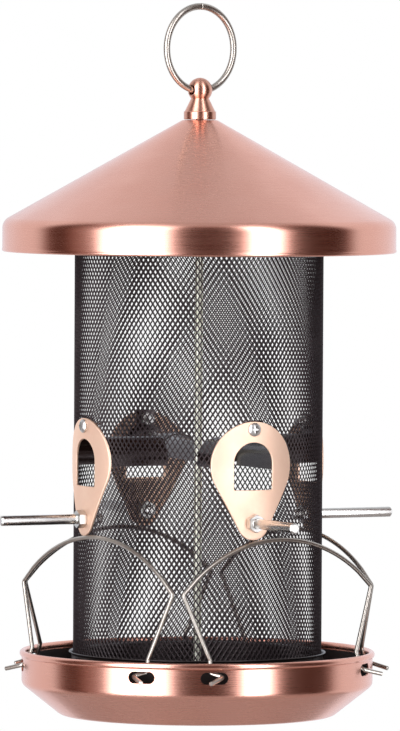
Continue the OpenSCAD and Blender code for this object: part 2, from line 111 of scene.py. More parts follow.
def grid(
    points: np.ndarray,
    wrap_rows: bool = False,
    wrap_cols: bool = False,
    finish: int = 0,
    holes: Sequence["Hole"] = (),
) -> Patch:
    """Four-sided faces between the neighbours of a grid of points.

    Args:
        points: array of rows by columns by 3.
        wrap_rows: joins the last row to the first.
        wrap_cols: joins the last column to the first.
        finish: index of the piece's material.
        holes: blocks of faces to leave out.

    Returns:
        The patch.
    """
    rows, cols = points.shape[:2]
    i = np.arange(rows if wrap_rows else rows - 1)[:, None]
    j = np.arange(cols if wrap_cols else cols - 1)[None, :]
    i2, j2 = (i + 1) % rows, (j + 1) % cols
    quads = np.stack([i * cols + j, i * cols + j2, i2 * cols + j2, i2 * cols + j], axis=-1)
    keep = np.ones(quads.shape[:2], dtype=bool)
    for hole in holes:
        keep[np.ix_(hole.rows[:-1], hole.columns[:-1])] = False
    return Patch(points.reshape(-1, 3), quads[keep], finish)


def fan(ring: np.ndarray) -> Patch:
    """Closes a ring of points with triangles about its middle.

    Args:
        ring: array of n by 3.

    Returns:
        The patch; its faces repeat one index, which the build step turns into triangles.
    """
    count = len(ring)
    points = np.vstack([ring, ring.mean(axis=0)])
    i = np.arange(count)
    faces = np.stack([i, (i + 1) % count, np.full(count, count), np.full(count, count)], axis=-1)
    return Patch(points, faces)


def build(
    name: str,
    patches: Sequence[Patch],
    finishes: Sequence[bpy.types.Material],
    sharp: float = 35.0,
) -> bpy.types.Object:
    """Welds patches into one mesh object with outward faces and smooth shading.

    Args:
        name: name of the piece.
        patches: the surfaces, in millimetres.
        finishes: materials that the patches' finish numbers name.
        sharp: edges that bend by more than this many degrees stay sharp.

    Returns:
        The object, at the origin.
    """
    offsets = np.cumsum([0] + [len(p.points) for p in patches])
    points = np.concatenate([p.points for p in patches])
    faces = np.concatenate([p.faces + o for p, o in zip(patches, offsets)])
    finish = np.concatenate([np.broadcast_to(p.finish, len(p.faces)) for p in patches])
    keys = np.round(points * WELD).astype(np.int64)
    _, first, back = np.unique(keys, axis=0, return_index=True, return_inverse=True)
    back = back.reshape(-1)
    points, faces = points[first], back[faces]
    same = faces == np.roll(faces, -1, axis=1)
    repeats = same.sum(axis=1)
    quads = faces[repeats == 0]
    tris = faces[repeats == 1][~same[repeats == 1]].reshape(-1, 3)
    finish = np.concatenate([finish[repeats == 0], finish[repeats == 1]])
    mesh = bpy.data.meshes.new(name)
    mesh.vertices.add(len(points))
    mesh.vertices.foreach_set("co", (points * MM).astype(np.float32).reshape(-1))
    corners = np.concatenate([quads.reshape(-1), tris.reshape(-1)])
    sizes = np.concatenate([np.full(len(quads), 4), np.full(len(tris), 3)])
    mesh.loops.add(len(corners))
    mesh.loops.foreach_set("vertex_index", corners.astype(np.int32))
    mesh.polygons.add(len(sizes))
    starts = np.concatenate([[0], np.cumsum(sizes)[:-1]])
    mesh.polygons.foreach_set("loop_start", starts.astype(np.int32))
    mesh.polygons.foreach_set("material_index", finish.astype(np.int32))
    for material in finishes:
        mesh.materials.append(material)
    mesh.update(calc_edges=True)
    mesh.validate()
    point_outwards(mesh)
    mesh.shade_smooth()
    mesh.set_sharp_from_angle(angle=math.radians(sharp))
    piece = bpy.data.objects.new(name, mesh)
    bpy.context.scene.collection.objects.link(piece)
    return piece


def point_outwards(mesh: bpy.types.Mesh) -> None:
    """Turns every face of a closed mesh to the outside.

    Args:
        mesh: the mesh.
    """
    work = bmesh.new()
    work.from_mesh(mesh)
    bmesh.ops.recalc_face_normals(work, faces=work.faces)
    work.to_mesh(mesh)
    work.free()


def turn_about_z(degrees: float) -> np.ndarray:
    """Matrix of a turn about +Z."""
    a = math.radians(degrees)
    return np.array([[math.cos(a), -math.sin(a), 0.0], [math.sin(a), math.cos(a), 0.0], [0.0, 0.0, 1.0]])


def along_x(patch: Patch) -> Patch:
    """Turns a patch so that +Z becomes +X."""
    return patch.moved(np.array([[0.0, 0.0, 1.0], [0.0, 1.0, 0.0], [-1.0, 0.0, 0.0]]))


def unit(v: np.ndarray) -> np.ndarray:
    """Vectors along the last axis scaled to a length of one."""
    return v / np.linalg.norm(v, axis=-1, keepdims=True)


def arc(centre: Sequence[float], radius: float, start: float, stop: float, steps: int) -> np.ndarray:
    """Points on a round arc: centre plus radius times the cosine and the sine of an angle."""
    a = np.radians(np.linspace(start, stop, steps + 1))
    return np.stack([centre[0] + radius * np.cos(a), centre[1] + radius * np.sin(a)], axis=-1)


def round_cap(a: np.ndarray, b: np.ndarray, steps: int) -> np.ndarray:
    """Half round from one point to another in a plane.

    Each point is the middle plus the half way times the cosine, and the same turned left by a
    quarter times the sine.

    Args:
        a: first point.
        b: last point.
        steps: points between them.

    Returns:
        Array of steps + 2 points.
    """
    middle, arm = (a + b) / 2, (a - b) / 2
    t = np.radians(np.linspace(0, 180, steps + 2))[:, None]
    side = np.array([-arm[1], arm[0]])
    return middle + arm * np.cos(t) + side * np.sin(t)


def round_corner(a: np.ndarray, b: np.ndarray, c: np.ndarray, radius: float, steps: int) -> np.ndarray:
    """Points of the round that replaces corner b of the line a-b-c.

    The round's middle lies on the corner's halving line, and its points turn from the first
    touching point to the last by equal angles. It works in a plane and in space.

    Args:
        a: point before the corner.
        b: the corner.
        c: point after the corner.
        radius: radius of the round.
        steps: number of stretches.

    Returns:
        Array of steps + 1 points.
    """
    u, w = unit(a - b), unit(c - b)
    half = math.acos(float(np.clip(u @ w, -1, 1))) / 2
    middle = b + unit(u + w) * radius / math.sin(half)
    first = b + u * radius / math.tan(half) - middle
    last = b + w * radius / math.tan(half) - middle
    sweep = math.pi - 2 * half
    t = np.linspace(0, sweep, steps + 1)[:, None]
    return middle + (first * np.sin(sweep - t) + last * np.sin(t)) / math.sin(sweep)


def rounded(
    line: Sequence[Sequence[float]], radii: Sequence[float], steps: int = FEW_STEPS
) -> np.ndarray:
    """A line whose inner corners are rounded.

    Args:
        line: the line's points.
        radii: one radius for each inner corner.
        steps: stretches in each round.

    Returns:
        Array of points.
    """
    p = np.asarray(line, dtype=float)
    parts = [p[:1]]
    parts += [round_corner(p[i], p[i + 1], p[i + 2], r, steps) for i, r in enumerate(radii)]
    return np.concatenate(parts + [p[-1:]])


def beside(line: np.ndarray, distance: float) -> np.ndarray:
    """A smooth line's copy, moved to its left along the mean of its stretches' normals.

    Each move is the distance over the cosine between that mean and the stretch's own normal, so
    the copy stays parallel.

    Args:
        line: array of n by 2.
        distance: how far the copy lies to the left.

    Returns:
        Array of n by 2.
    """
    along = unit(np.diff(line, axis=0))
    normal = np.stack([-along[:, 1], along[:, 0]], axis=-1)
    ends = unit(np.concatenate([normal[:1], normal[:-1] + normal[1:], normal[-1:]]))
    stretch = np.concatenate([[1.0], (ends[1:-1] * normal[1:]).sum(axis=1), [1.0]])
    return line + ends * (distance / stretch)[:, None]


def spaced(line: np.ndarray, step: float) -> np.ndarray:
    """Adds points along a line so that no stretch is much longer than a step.

    Args:
        line: array of n points.
        step: longest stretch wanted.

    Returns:
        The denser line, with every point of the first in it.
    """
    length = np.linalg.norm(np.diff(line, axis=0), axis=1)
    counts = np.maximum(1, np.ceil(length / step)).astype(int)
    index = np.repeat(np.arange(len(counts)), counts)
    share = (np.arange(len(index)) - np.repeat(np.cumsum(counts) - counts, counts)) / counts[index]
    points = line[index] + (line[index + 1] - line[index]) * share[:, None]
    return np.concatenate([points, line[-1:]])


def revolved(
    profile: np.ndarray,
    columns: int,
    closed: bool = True,
    start: float = 0.0,
    sweep: float = 360.0,
) -> list[Patch]:
    """A profile of radius and height carried round the Z axis.

    Each point is radius times the cosine and the sine of the turn, and the height.

    Args:
        profile: array of n by 2.
        columns: steps of the turn.
        closed: joins the profile's last point to its first.
        start: first angle, in degrees.
        sweep: turned angle; under 360 the two cut ends are closed.

    Returns:
        The patches.
    """
    whole = sweep >= 360.0
    a = np.radians(start + np.linspace(0, sweep, columns + 1))[: columns if whole else None]
    r, z = profile[:, :1], profile[:, 1:]
    points = np.stack([r * np.cos(a), r * np.sin(a), np.broadcast_to(z, (len(r), len(a)))], axis=-1)
    patches = [grid(points, wrap_rows=closed, wrap_cols=whole)]
    if not whole:
        half = len(profile) // 2
        for column in (0, -1):
            side = points[:, column]
            pair = np.stack([side[:half], side[::-1][:half]], axis=0)
            patches.append(grid(pair))
    return patches


def swept(line: np.ndarray, radius: np.ndarray, sides: int, across: Sequence[float]) -> list[Patch]:
    """A round wire along a line in space.

    Each ring stands square to the line there; its first direction is the line's direction
    crossed with one fixed direction, which the line never follows.

    Args:
        line: array of n by 3.
        radius: array of n radii.
        sides: points round the wire.
        across: the fixed direction.

    Returns:
        The wire and its two end caps.
    """
    stretches = unit(np.diff(line, axis=0))
    along = unit(np.concatenate([stretches[:1], stretches[:-1] + stretches[1:], stretches[-1:]]))
    side = unit(np.cross(along, np.asarray(across, dtype=float)))
    up = np.cross(side, along)
    a = np.linspace(0, FULL_TURN, sides, endpoint=False)
    ring = side[:, None, :] * np.cos(a)[None, :, None] + up[:, None, :] * np.sin(a)[None, :, None]
    points = line[:, None, :] + ring * radius[:, None, None]
    return [grid(points, wrap_cols=True), fan(points[0]), fan(points[-1])]


def wire(
    line: np.ndarray,
    radius: float,
    sides: int,
    across: Sequence[float],
    chamfer: float,
) -> list[Patch]:
    """A round wire whose cut ends have a small chamfer.

    Args:
        line: array of n by 3.
        radius: the wire's radius.
        sides: points round the wire.
        across: a direction that the line never follows.
        chamfer: size of the chamfer.

    Returns:
        The patches.
    """
    ends = unit(np.stack([line[1] - line[0], line[-2] - line[-1]])) * chamfer
    line = np.concatenate([line[:1], line[:1] + ends[:1], line[1:-1], line[-1:] + ends[1:], line[-1:]])
    size = np.full(len(line), radius)
    size[[0, -1]] -= chamfer
    return swept(line, size, sides, across)


# ---- Sizes read from the frame -------------------------------------------------------------


def low(node: str) -> np.ndarray:
    """Lowest corner of a CAD node, in millimetres."""
    return np.array(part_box(node)[0]) / MM


def high(node: str) -> np.ndarray:
    """Highest corner of a CAD node, in millimetres."""
    return np.array(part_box(node)[1]) / MM


def joint(name: str) -> dict:
    """The record's entry for a joint."""
    return next(j for j in frame["record"]["behaviour"]["joints"] if j["name"] == name)


@dataclass(frozen=True)
class Port:
    """One feeding port: its number and the direction it faces, in degrees from +X."""

    number: int
    turn: float

    @property
    def matrix(self) -> np.ndarray:
        """Turn that carries +X to the port's direction."""
        return turn_about_z(self.turn)


PORTS = (Port(1, 270.0), Port(2, 180.0), Port(3, 0.0), Port(4, 90.0))


# ---- Finishes ------------------------------------------------------------------------------


class Graph:
    """Short hand for making a material's nodes."""

    def __init__(self, name: str) -> None:
        """Makes a material with a principled shader and its object coordinates.

        Args:
            name: the material's name.
        """
        self.material = bpy.data.materials.new(name)
        self.material.use_nodes = True
        self.tree = self.material.node_tree
        self.tree.nodes.clear()
        self.output = self.tree.nodes.new("ShaderNodeOutputMaterial")
        self.shader = self.tree.nodes.new("ShaderNodeBsdfPrincipled")
        self.tree.links.new(self.shader.outputs["BSDF"], self.output.inputs["Surface"])
        self.place = self.tree.nodes.new("ShaderNodeTexCoord").outputs["Object"]

    def open_from_behind(self) -> None:
        """Lets light and sight through where the surface is seen from its back."""
        mix = self.tree.nodes.new("ShaderNodeMixShader")
        clear = self.tree.nodes.new("ShaderNodeBsdfTransparent")
        back = self.tree.nodes.new("ShaderNodeNewGeometry").outputs["Backfacing"]
        target = self.output.inputs["Surface"]
        self.tree.links.new(back, mix.inputs[0])
        self.tree.links.new(self.shader.outputs["BSDF"], mix.inputs[1])
        self.tree.links.new(clear.outputs[0], mix.inputs[2])
        self.tree.links.new(mix.outputs[0], target)

    def link(self, source: object, target: object) -> None:
        """Joins an output to an input, or sets the input to a plain value.

        Args:
            source: an output socket, a number or a colour.
            target: the input.
        """
        if isinstance(source, bpy.types.NodeSocket):
            self.tree.links.new(source, target)
        else:
            target.default_value = source

    def math(self, operation: str, a: object, b: object = 0.0) -> bpy.types.NodeSocket:
        """One step of arithmetic on numbers.

        Args:
            operation: the node's operation.
            a: first value.
            b: second value.

        Returns:
            The result.
        """
        node = self.tree.nodes.new("ShaderNodeMath")
        node.operation = operation
        self.link(a, node.inputs[0])
        self.link(b, node.inputs[1])
        return node.outputs[0]

    def scaled(self, vector: object, factors: Sequence[float]) -> bpy.types.NodeSocket:
        """A vector multiplied by three factors.

        Args:
            vector: the vector.
            factors: one factor for each axis.

        Returns:
            The product.
        """
        node = self.tree.nodes.new("ShaderNodeVectorMath")
        node.operation = "MULTIPLY"
        self.link(vector, node.inputs[0])
        node.inputs[1].default_value = factors
        return node.outputs[0]

    def noise(
        self, vector: object, scale: float, detail: float = 3.0, rough: float = 0.55
    ) -> bpy.types.NodeSocket:
        """Soft noise from 0 to 1.

        Args:
            vector: the coordinates.
            scale: features a metre.
            detail: number of finer layers.
            rough: weight of each finer layer.

        Returns:
            The noise.
        """
        node = self.tree.nodes.new("ShaderNodeTexNoise")
        node.inputs["Scale"].default_value = scale
        node.inputs["Detail"].default_value = detail
        node.inputs["Roughness"].default_value = rough
        self.link(vector, node.inputs["Vector"])
        return node.outputs["Fac"]

    def specks(self, scale: float) -> bpy.types.NodeSocket:
        """Round specks, one in about every third cell of scattered points.

        Args:
            scale: cells a metre.

        Returns:
            1 in a speck and 0 outside.
        """
        node = self.tree.nodes.new("ShaderNodeTexVoronoi")
        node.inputs["Scale"].default_value = scale
        self.link(self.place, node.inputs["Vector"])
        near = self.spread(node.outputs["Distance"], 0.014, 0.024, 1.0, 0.0)
        split = self.tree.nodes.new("ShaderNodeSeparateColor")
        self.link(node.outputs["Color"], split.inputs[0])
        return self.math("MULTIPLY", near, self.math("GREATER_THAN", split.outputs[0], 0.66))

    def spread(
        self, value: object, from_low: float, from_high: float, to_low: float, to_high: float
    ) -> bpy.types.NodeSocket:
        """A value mapped from one range to another and held inside it.

        Args:
            value: the value.
            from_low: where the first range starts.
            from_high: where the first range stops.
            to_low: where the second range starts.
            to_high: where the second range stops.

        Returns:
            The mapped value.
        """
        node = self.tree.nodes.new("ShaderNodeMapRange")
        self.link(value, node.inputs["Value"])
        ends = (from_low, from_high, to_low, to_high)
        for key, number in zip(("From Min", "From Max", "To Min", "To Max"), ends):
            node.inputs[key].default_value = number
        return node.outputs["Result"]

    def mix(self, share: object, a: object, b: object) -> bpy.types.NodeSocket:
        """A blend of two colours.

        Args:
            share: share of the second colour.
            a: first colour.
            b: second colour.

        Returns:
            The blend.
        """
        node = self.tree.nodes.new("ShaderNodeMix")
        node.data_type = "RGBA"
        self.link(share, node.inputs["Factor"])
        self.link(a, node.inputs[6])
        self.link(b, node.inputs[7])
        return node.outputs[2]

    def bump(
        self, height: object, distance: float, strength: float = 1.0, before: object = None
    ) -> bpy.types.NodeSocket:
        """A surface normal bent by a height.

        Args:
            height: the height, from 0 to 1.
            distance: depth in metres of a height of 1.
            strength: share of the bend that counts.
            before: a normal that is bent already.

        Returns:
            The normal.
        """
        node = self.tree.nodes.new("ShaderNodeBump")
        node.inputs["Strength"].default_value = strength
        node.inputs["Distance"].default_value = distance
        self.link(height, node.inputs["Height"])
        if before is not None:
            self.link(before, node.inputs["Normal"])
        return node.outputs["Normal"]

    def round_place(self, around: float, along: float) -> bpy.types.NodeSocket:
        """Coordinates for marks that run round the Z axis.

        The direction from the axis counts a little and the distance along the surface's section
        counts a lot, so noise on them draws fine rings with no seam.

        Args:
            around: weight of the direction.
            along: weight of height plus radius.

        Returns:
            The coordinates.
        """
        split = self.tree.nodes.new("ShaderNodeSeparateXYZ")
        self.link(self.place, split.inputs[0])
        x, y, z = split.outputs
        square = self.math("ADD", self.math("MULTIPLY", x, x), self.math("MULTIPLY", y, y))
        radius = self.math("SQRT", square)
        safe = self.math("MAXIMUM", radius, 1e-5)
        joined = self.tree.nodes.new("ShaderNodeCombineXYZ")
        self.link(self.math("MULTIPLY", self.math("DIVIDE", x, safe), around), joined.inputs[0])
        self.link(self.math("MULTIPLY", self.math("DIVIDE", y, safe), around), joined.inputs[1])
        section = self.math("ADD", z, self.math("MULTIPLY", radius, 1.37))
        self.link(self.math("MULTIPLY", section, along), joined.inputs[2])
        return joined.outputs[0]


@dataclass(frozen=True)
class SheetMetal:
    """Brushed metal: two close colours in soft clouds, fine brush lines and a few specks."""

    name: str
    colour: tuple[float, float, float]
    cloud: tuple[float, float, float]
    roughness: float
    brush_depth: float = 1.2e-6
    cloud_scale: float = 30.0
    rings: bool = True
    anisotropic: float = 0.72
    speck_colour: tuple[float, float, float] = (0.20, 0.10, 0.07)
    speck_share: float = 0.7
    speck_scale: float = 75.0
    dent_scale: float = 22.0
    dent_depth: float = 4e-4
    ring_place: tuple[float, float] = (3.0, 1800.0)
    plain_scale: float = 400.0

    def material(self) -> bpy.types.Material:
        """Builds the node material.

        Returns:
            The material.
        """
        g = Graph(self.name)
        s = g.shader.inputs
        s["Metallic"].default_value = 1.0
        s["Anisotropic"].default_value = self.anisotropic
        s["Anisotropic Rotation"].default_value = 0.25
        clouds = g.noise(g.place, self.cloud_scale, 4.0, 0.6)
        plain = (self.plain_scale,) * 3
        brushed_place = g.round_place(*self.ring_place) if self.rings else g.scaled(g.place, plain)
        brush = g.noise(brushed_place, 1.0, 4.0, 0.7)
        speck = g.math("MULTIPLY", g.specks(self.speck_scale), self.speck_share)
        base = g.mix(g.spread(clouds, 0.35, 0.68, 0.0, 1.0), (*self.colour, 1.0), (*self.cloud, 1.0))
        lined = g.mix(g.spread(brush, *MIDDLE, 0.0, 0.3), base, (*self.cloud, 1.0))
        g.link(g.mix(speck, lined, (*self.speck_colour, 1.0)), s["Base Color"])
        rough = g.spread(clouds, *MIDDLE, self.roughness - 0.02, self.roughness + 0.03)
        g.link(g.math("ADD", rough, g.spread(brush, *MIDDLE, -0.02, 0.03)), s["Roughness"])
        dents = g.noise(g.place, self.dent_scale, 1.0, 0.4)
        soft = g.bump(dents, self.dent_depth, 0.5)
        g.link(g.bump(brush, self.brush_depth, 1.0, soft), s["Normal"])
        return g.material


@dataclass(frozen=True)
class Paint:
    """Satin paint on metal: even colour with soft clouds, orange-peel grain and worn high spots."""

    name: str
    colour: tuple[float, float, float]
    worn: tuple[float, float, float]
    roughness: float
    grain: float = 1200.0
    depth: float = 4e-6
    cloud_scale: float = 45.0
    gloss: float = 0.5
    shine: tuple[float, float, float] = (1.0, 0.82, 0.78)

    def material(self) -> bpy.types.Material:
        """Builds the node material.

        Returns:
            The material.
        """
        g = Graph(self.name)
        s = g.shader.inputs
        s["Specular IOR Level"].default_value = self.gloss
        s["Specular Tint"].default_value = (*self.shine, 1.0)
        clouds = g.noise(g.place, self.cloud_scale, 3.0, 0.6)
        fine = g.noise(g.place, self.grain, 3.0, 0.6)
        wear = g.spread(g.math("MULTIPLY", clouds, fine), 0.30, 0.42, 0.0, 0.6)
        tinted = g.mix(wear, (*self.colour, 1.0), (*self.worn, 1.0))
        g.link(tinted, s["Base Color"])
        g.link(g.spread(clouds, *MIDDLE, self.roughness - 0.06, self.roughness + 0.08), s["Roughness"])
        g.link(g.bump(fine, self.depth, 1.0), s["Normal"])
        return g.material


class Finishes:
    """All the feeder's materials, each made once."""

    def __init__(self) -> None:
        """Makes the materials."""
        self.copper = SheetMetal("brushed_copper", (0.82, 0.42, 0.315), (0.78, 0.38, 0.28), 0.265).material()
        self.plate_copper = SheetMetal(
            "plate_copper", (0.98, 0.70, 0.52), (0.92, 0.63, 0.46), 0.54, rings=False, cloud_scale=60.0,
            anisotropic=0.0, speck_share=0.3).material()
        # Darker copy of the copper for the roof's inner face: painted shade, the shade under the roof put
        # into its colour; the higher roughness is a surface property
        self.copper_painted_shade_inside = SheetMetal(
            "copper_with_painted_shade", (0.55, 0.29, 0.21), (0.44, 0.22, 0.16), 0.42, speck_share=0.2).material()
        self.turned_copper = SheetMetal(
            "turned_copper", (0.78, 0.41, 0.29), (0.62, 0.31, 0.22), 0.34, brush_depth=6e-6,
            cloud_scale=120.0).material()
        self.black = Paint("black_paint", (0.012, 0.009, 0.008), (0.03, 0.024, 0.022), 0.34).material()
        self.hood_black = Paint(
            "gloss_black_paint", (0.010, 0.005, 0.004), (0.017, 0.010, 0.009), 0.14, gloss=0.7).material()
        self.mesh_black = Paint(
            "black_mesh_paint", (0.012, 0.008, 0.009), (0.03, 0.024, 0.022), 0.40, grain=2500.0,
            gloss=0.36).material()
        self.zinc = SheetMetal(
            "bright_zinc", (0.62, 0.60, 0.56), (0.52, 0.50, 0.46), 0.34, rings=False, cloud_scale=160.0,
            anisotropic=0.0, speck_colour=(0.30, 0.29, 0.27), speck_share=0.3).material()
        self.perch_steel = SheetMetal(
            "perch_steel", (0.66, 0.63, 0.58), (0.58, 0.55, 0.50), 0.24, rings=False, cloud_scale=140.0,
            anisotropic=0.0, speck_colour=(0.25, 0.23, 0.20), speck_share=0.35).material()
        self.yellow_zinc = SheetMetal(
            "yellow_zinc", (1.0, 0.98, 0.84), (0.95, 0.92, 0.74), 0.50, cloud_scale=90.0,
            speck_colour=(0.35, 0.30, 0.15), speck_share=0.3).material()
        self.nickel = SheetMetal(
            "antique_nickel", (0.50, 0.45, 0.39), (0.42, 0.37, 0.31), 0.30, rings=False, cloud_scale=180.0,
            anisotropic=0.0, speck_colour=(0.12, 0.10, 0.08), speck_share=0.4).material()


# ---- Pieces --------------------------------------------------------------------------------


def set_piece(piece: bpy.types.Object, body: Body, slot: str, *nodes: str) -> None:
    """Puts a finished piece on its body in place of its CAD nodes.

    Args:
        piece: the object.
        body: the body that it rides on.
        slot: the record's material slot; not used.
        nodes: the CAD nodes that it stands for.
    """
    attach(piece, body)
    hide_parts(*nodes)
    LOG.info("%s: %d faces on %s", piece.name, len(piece.data.polygons), body.value)


def dress(node: str, material: bpy.types.Material) -> None:
    """Gives a CAD node that stays its finish.

    Args:
        node: the node's name.
        material: the finish.
    """
    data = frame["nodes"][node].data
    data.materials.clear()
    data.materials.append(material)
    LOG.info("%s: dressed", node)


# ---- Holes in sheets -----------------------------------------------------------------------


def convex_reach(outline: np.ndarray, centre: np.ndarray, way: np.ndarray) -> np.ndarray:
    """How far rays run from a centre to a convex outline.

    A ray leaves through the side whose outward normal gives the smallest ratio of the side's
    distance from the centre to the ray's share along that normal.

    Args:
        outline: array of n by 2, anticlockwise.
        centre: a point inside.
        way: array of m by 2, the rays' directions.

    Returns:
        Array of m lengths.
    """
    side = np.roll(outline, -1, axis=0) - outline
    normal = unit(np.stack([side[:, 1], -side[:, 0]], axis=-1))
    distance = ((outline - centre) * normal).sum(axis=1)
    share = way @ normal.T
    ratio = np.where(share > 1e-9, distance / np.maximum(share, 1e-9), np.inf)
    return ratio.min(axis=1)


def stadium(length: float, height: float, steps: int = MORE_STEPS) -> np.ndarray:
    """Outline of an oblong with round ends, as two half rounds set apart.

    Args:
        length: the oblong's length.
        height: its height, and twice the ends' radius.
        steps: stretches in each half round.

    Returns:
        Array of points, anticlockwise.
    """
    half = (length - height) / 2
    right = arc((half, 0.0), height / 2, -90, 90, steps)
    left = arc((-half, 0.0), height / 2, 90, 270, steps)
    return np.concatenate([right, left])


@dataclass(frozen=True)
class Hole:
    """A hole in a turned sheet: its angle, its outline and the block of faces that it takes out."""

    turn: float
    outline: np.ndarray
    rows: np.ndarray
    columns: np.ndarray

    def rim(self) -> tuple[np.ndarray, np.ndarray]:
        """Row and column numbers of the block's outline.

        Returns:
            The row numbers and the column numbers, once round the block.
        """
        r, c = self.rows, self.columns
        rows = np.concatenate([np.full(len(c) - 1, r[0]), r[:-1], np.full(len(c) - 1, r[-1]), r[:0:-1]])
        columns = np.concatenate([c[:-1], np.full(len(r) - 1, c[-1]), c[:0:-1], np.full(len(r) - 1, c[0])])
        return rows, columns


class TurnedSheet:
    """A sheet of constant thickness, bent to a profile and turned round Z, with pierced holes."""

    def __init__(self, line: np.ndarray, thickness: float, columns: int) -> None:
        """Places the sheet's two faces.

        Args:
            line: the near face's profile of radius and height.
            thickness: how far the far face lies to the profile's left.
            columns: steps of the turn.
        """
        self.near = line
        self.far = beside(line, thickness)
        self.columns = columns
        self.angles = np.arange(columns) * FULL_TURN / columns
        self.holes: list[tuple[Hole, bool]] = []

    def block(self, turn: float, reach: float, rows: np.ndarray) -> tuple[np.ndarray, np.ndarray]:
        """Rows and columns of the faces round a hole.

        Args:
            turn: the hole's angle in degrees.
            reach: half of the block's angle in degrees.
            rows: which profile points the block covers.

        Returns:
            The row numbers and the column numbers.
        """
        step = 360.0 / self.columns
        first, last = math.floor((turn - reach) / step), math.ceil((turn + reach) / step)
        return rows, np.arange(first, last + 1) % self.columns

    def pierce(
        self, turn: float, outline: np.ndarray, reach: float, rows: np.ndarray, in_wall: bool
    ) -> None:
        """Adds a hole.

        Args:
            turn: the hole's angle in degrees.
            outline: its outline about its own middle; across and up, or across and outwards.
            reach: half of the block's angle in degrees.
            rows: which profile points the block covers.
            in_wall: True in an upright wall, False in a level floor.
        """
        self.holes.append((Hole(turn, outline, *self.block(turn, reach, rows)), in_wall))

    def points(self, line: np.ndarray) -> np.ndarray:
        """The line carried round Z: radius times cosine and sine of the angle, and height.

        Args:
            line: array of n by 2.

        Returns:
            Array of n by columns by 3.
        """
        r, z = line[:, :1], line[:, 1:]
        flat = np.broadcast_to(z, (len(line), self.columns))
        return np.stack([r * np.cos(self.angles), r * np.sin(self.angles), flat], axis=-1)

    def face(self, line: np.ndarray, finish: int) -> list[Patch]:
        """One face of the sheet with a collar of faces round each hole.

        Args:
            line: the face's profile.
            finish: index of the piece's material.

        Returns:
            The patches.
        """
        points = self.points(line)
        collars = [self.collar(points, hole, wall) for hole, wall in self.holes]
        patches = [grid(points, wrap_cols=True, finish=finish, holes=[hole for hole, _ in self.holes])]
        return patches + [grid(collar, wrap_cols=True, finish=finish) for collar in collars]

    def collar(self, points: np.ndarray, hole: Hole, in_wall: bool) -> np.ndarray:
        """Rings of points from a block's outline in to the hole's edge.

        In the hole's own flat view each ring point lies on the ray from the hole's middle through
        the outline point. In a wall the depth is the root of radius squared less across squared.

        Args:
            points: the face's grid.
            hole: the hole.
            in_wall: True in an upright wall.

        Returns:
            Array of rings by outline points by 3; the last ring is the hole's edge.
        """
        rows, columns = hole.rim()
        rim = points[rows, columns] @ turn_about_z(-hole.turn).T
        radius = math.hypot(*points[hole.rows[0], 0, :2])
        middle = points[hole.rows[[0, -1]], 0].mean(axis=0)
        if in_wall:
            flat = rim[:, 1:] - [0.0, middle[2]]
        else:
            ring = np.hypot(points[hole.rows, 0, 0], points[hole.rows, 0, 1]).mean()
            flat = np.stack([rim[:, 1], rim[:, 0] - ring], axis=-1)
        way = unit(flat)
        edge = way * convex_reach(hole.outline, np.zeros(2), way)[:, None]
        share = np.array(COLLAR_RINGS)[:, None, None]
        across, up = np.moveaxis(flat + (edge - flat) * share, -1, 0)
        if in_wall:
            local = np.stack([np.sqrt(radius**2 - across**2), across, up + middle[2]], axis=-1)
        else:
            local = np.stack([up + ring, across, np.full_like(up, rim[0, 2])], axis=-1)
        return local @ turn_about_z(hole.turn).T

    def hole_walls(self, finish: int) -> list[Patch]:
        """The cut edges of the holes, between the sheet's two faces.

        Args:
            finish: index of the piece's material.

        Returns:
            One patch for each hole.
        """
        sides = self.points(self.near), self.points(self.far)
        edges = [np.stack([self.collar(side, *hole)[-1] for side in sides]) for hole in self.holes]
        return [grid(edge, wrap_cols=True, finish=finish) for edge in edges]

    def edge(self, line: np.ndarray, finish: int) -> Patch:
        """A strip that closes an edge of the sheet, along a line of radius and height."""
        return grid(self.points(line), wrap_cols=True, finish=finish)


# ---- Roof and tray -------------------------------------------------------------------------


@dataclass
class Roof:
    """Cone of copper sheet with a rounded shoulder, an upright rim and a rolled lower edge."""

    finishes: Finishes
    sheet: float = 0.8
    top_r: float = 8.9
    shoulder_r: float = 6.0
    top_bend_r: float = 1.6
    rim_h: float = 15.4
    roll_r: float = 1.1
    roll_proud: float = 0.2
    rod_hole_r: float = 2.5
    bend_steps: int = 14
    roll_steps: int = 24
    stretch: float = 6.0
    columns: int = 360

    def build(self) -> None:
        """Makes the roof and puts it on its body."""
        outer_r = high("roof")[0] - self.roll_proud
        top, edge = high("roof")[2], low("roof")[2]
        line = rounded([
            (self.rod_hole_r, top), (self.top_r, top), (outer_r, edge + self.rim_h),
            (outer_r, edge + 2 * self.roll_r + self.sheet),
        ], [self.top_bend_r, self.shoulder_r], self.bend_steps)
        sheet = TurnedSheet(spaced(line, self.stretch), -self.sheet, self.columns)
        roll = (outer_r - self.roll_r + self.roll_proud, edge + self.roll_r)
        start = math.degrees(math.acos((outer_r - roll[0]) / self.roll_r))
        stop = math.degrees(math.acos((outer_r - self.sheet - roll[0]) / self.roll_r)) - 360
        roll_line = arc(roll, self.roll_r, start, stop, self.roll_steps)
        rolled = np.concatenate([sheet.near[-1:], roll_line, sheet.far[-1:]])
        patches = sheet.face(sheet.near, 0) + sheet.face(sheet.far, 1)
        patches += [sheet.edge(rolled, 0), sheet.edge(np.stack([sheet.near[0], sheet.far[0]]), 0)]
        # The inner face (finish 1) takes the darker copper: painted shade under the roof
        piece = build("roof_shell", patches, [self.finishes.copper, self.finishes.copper_painted_shade_inside])
        set_piece(piece, Body.ROOF, "copper_sheet", "roof")


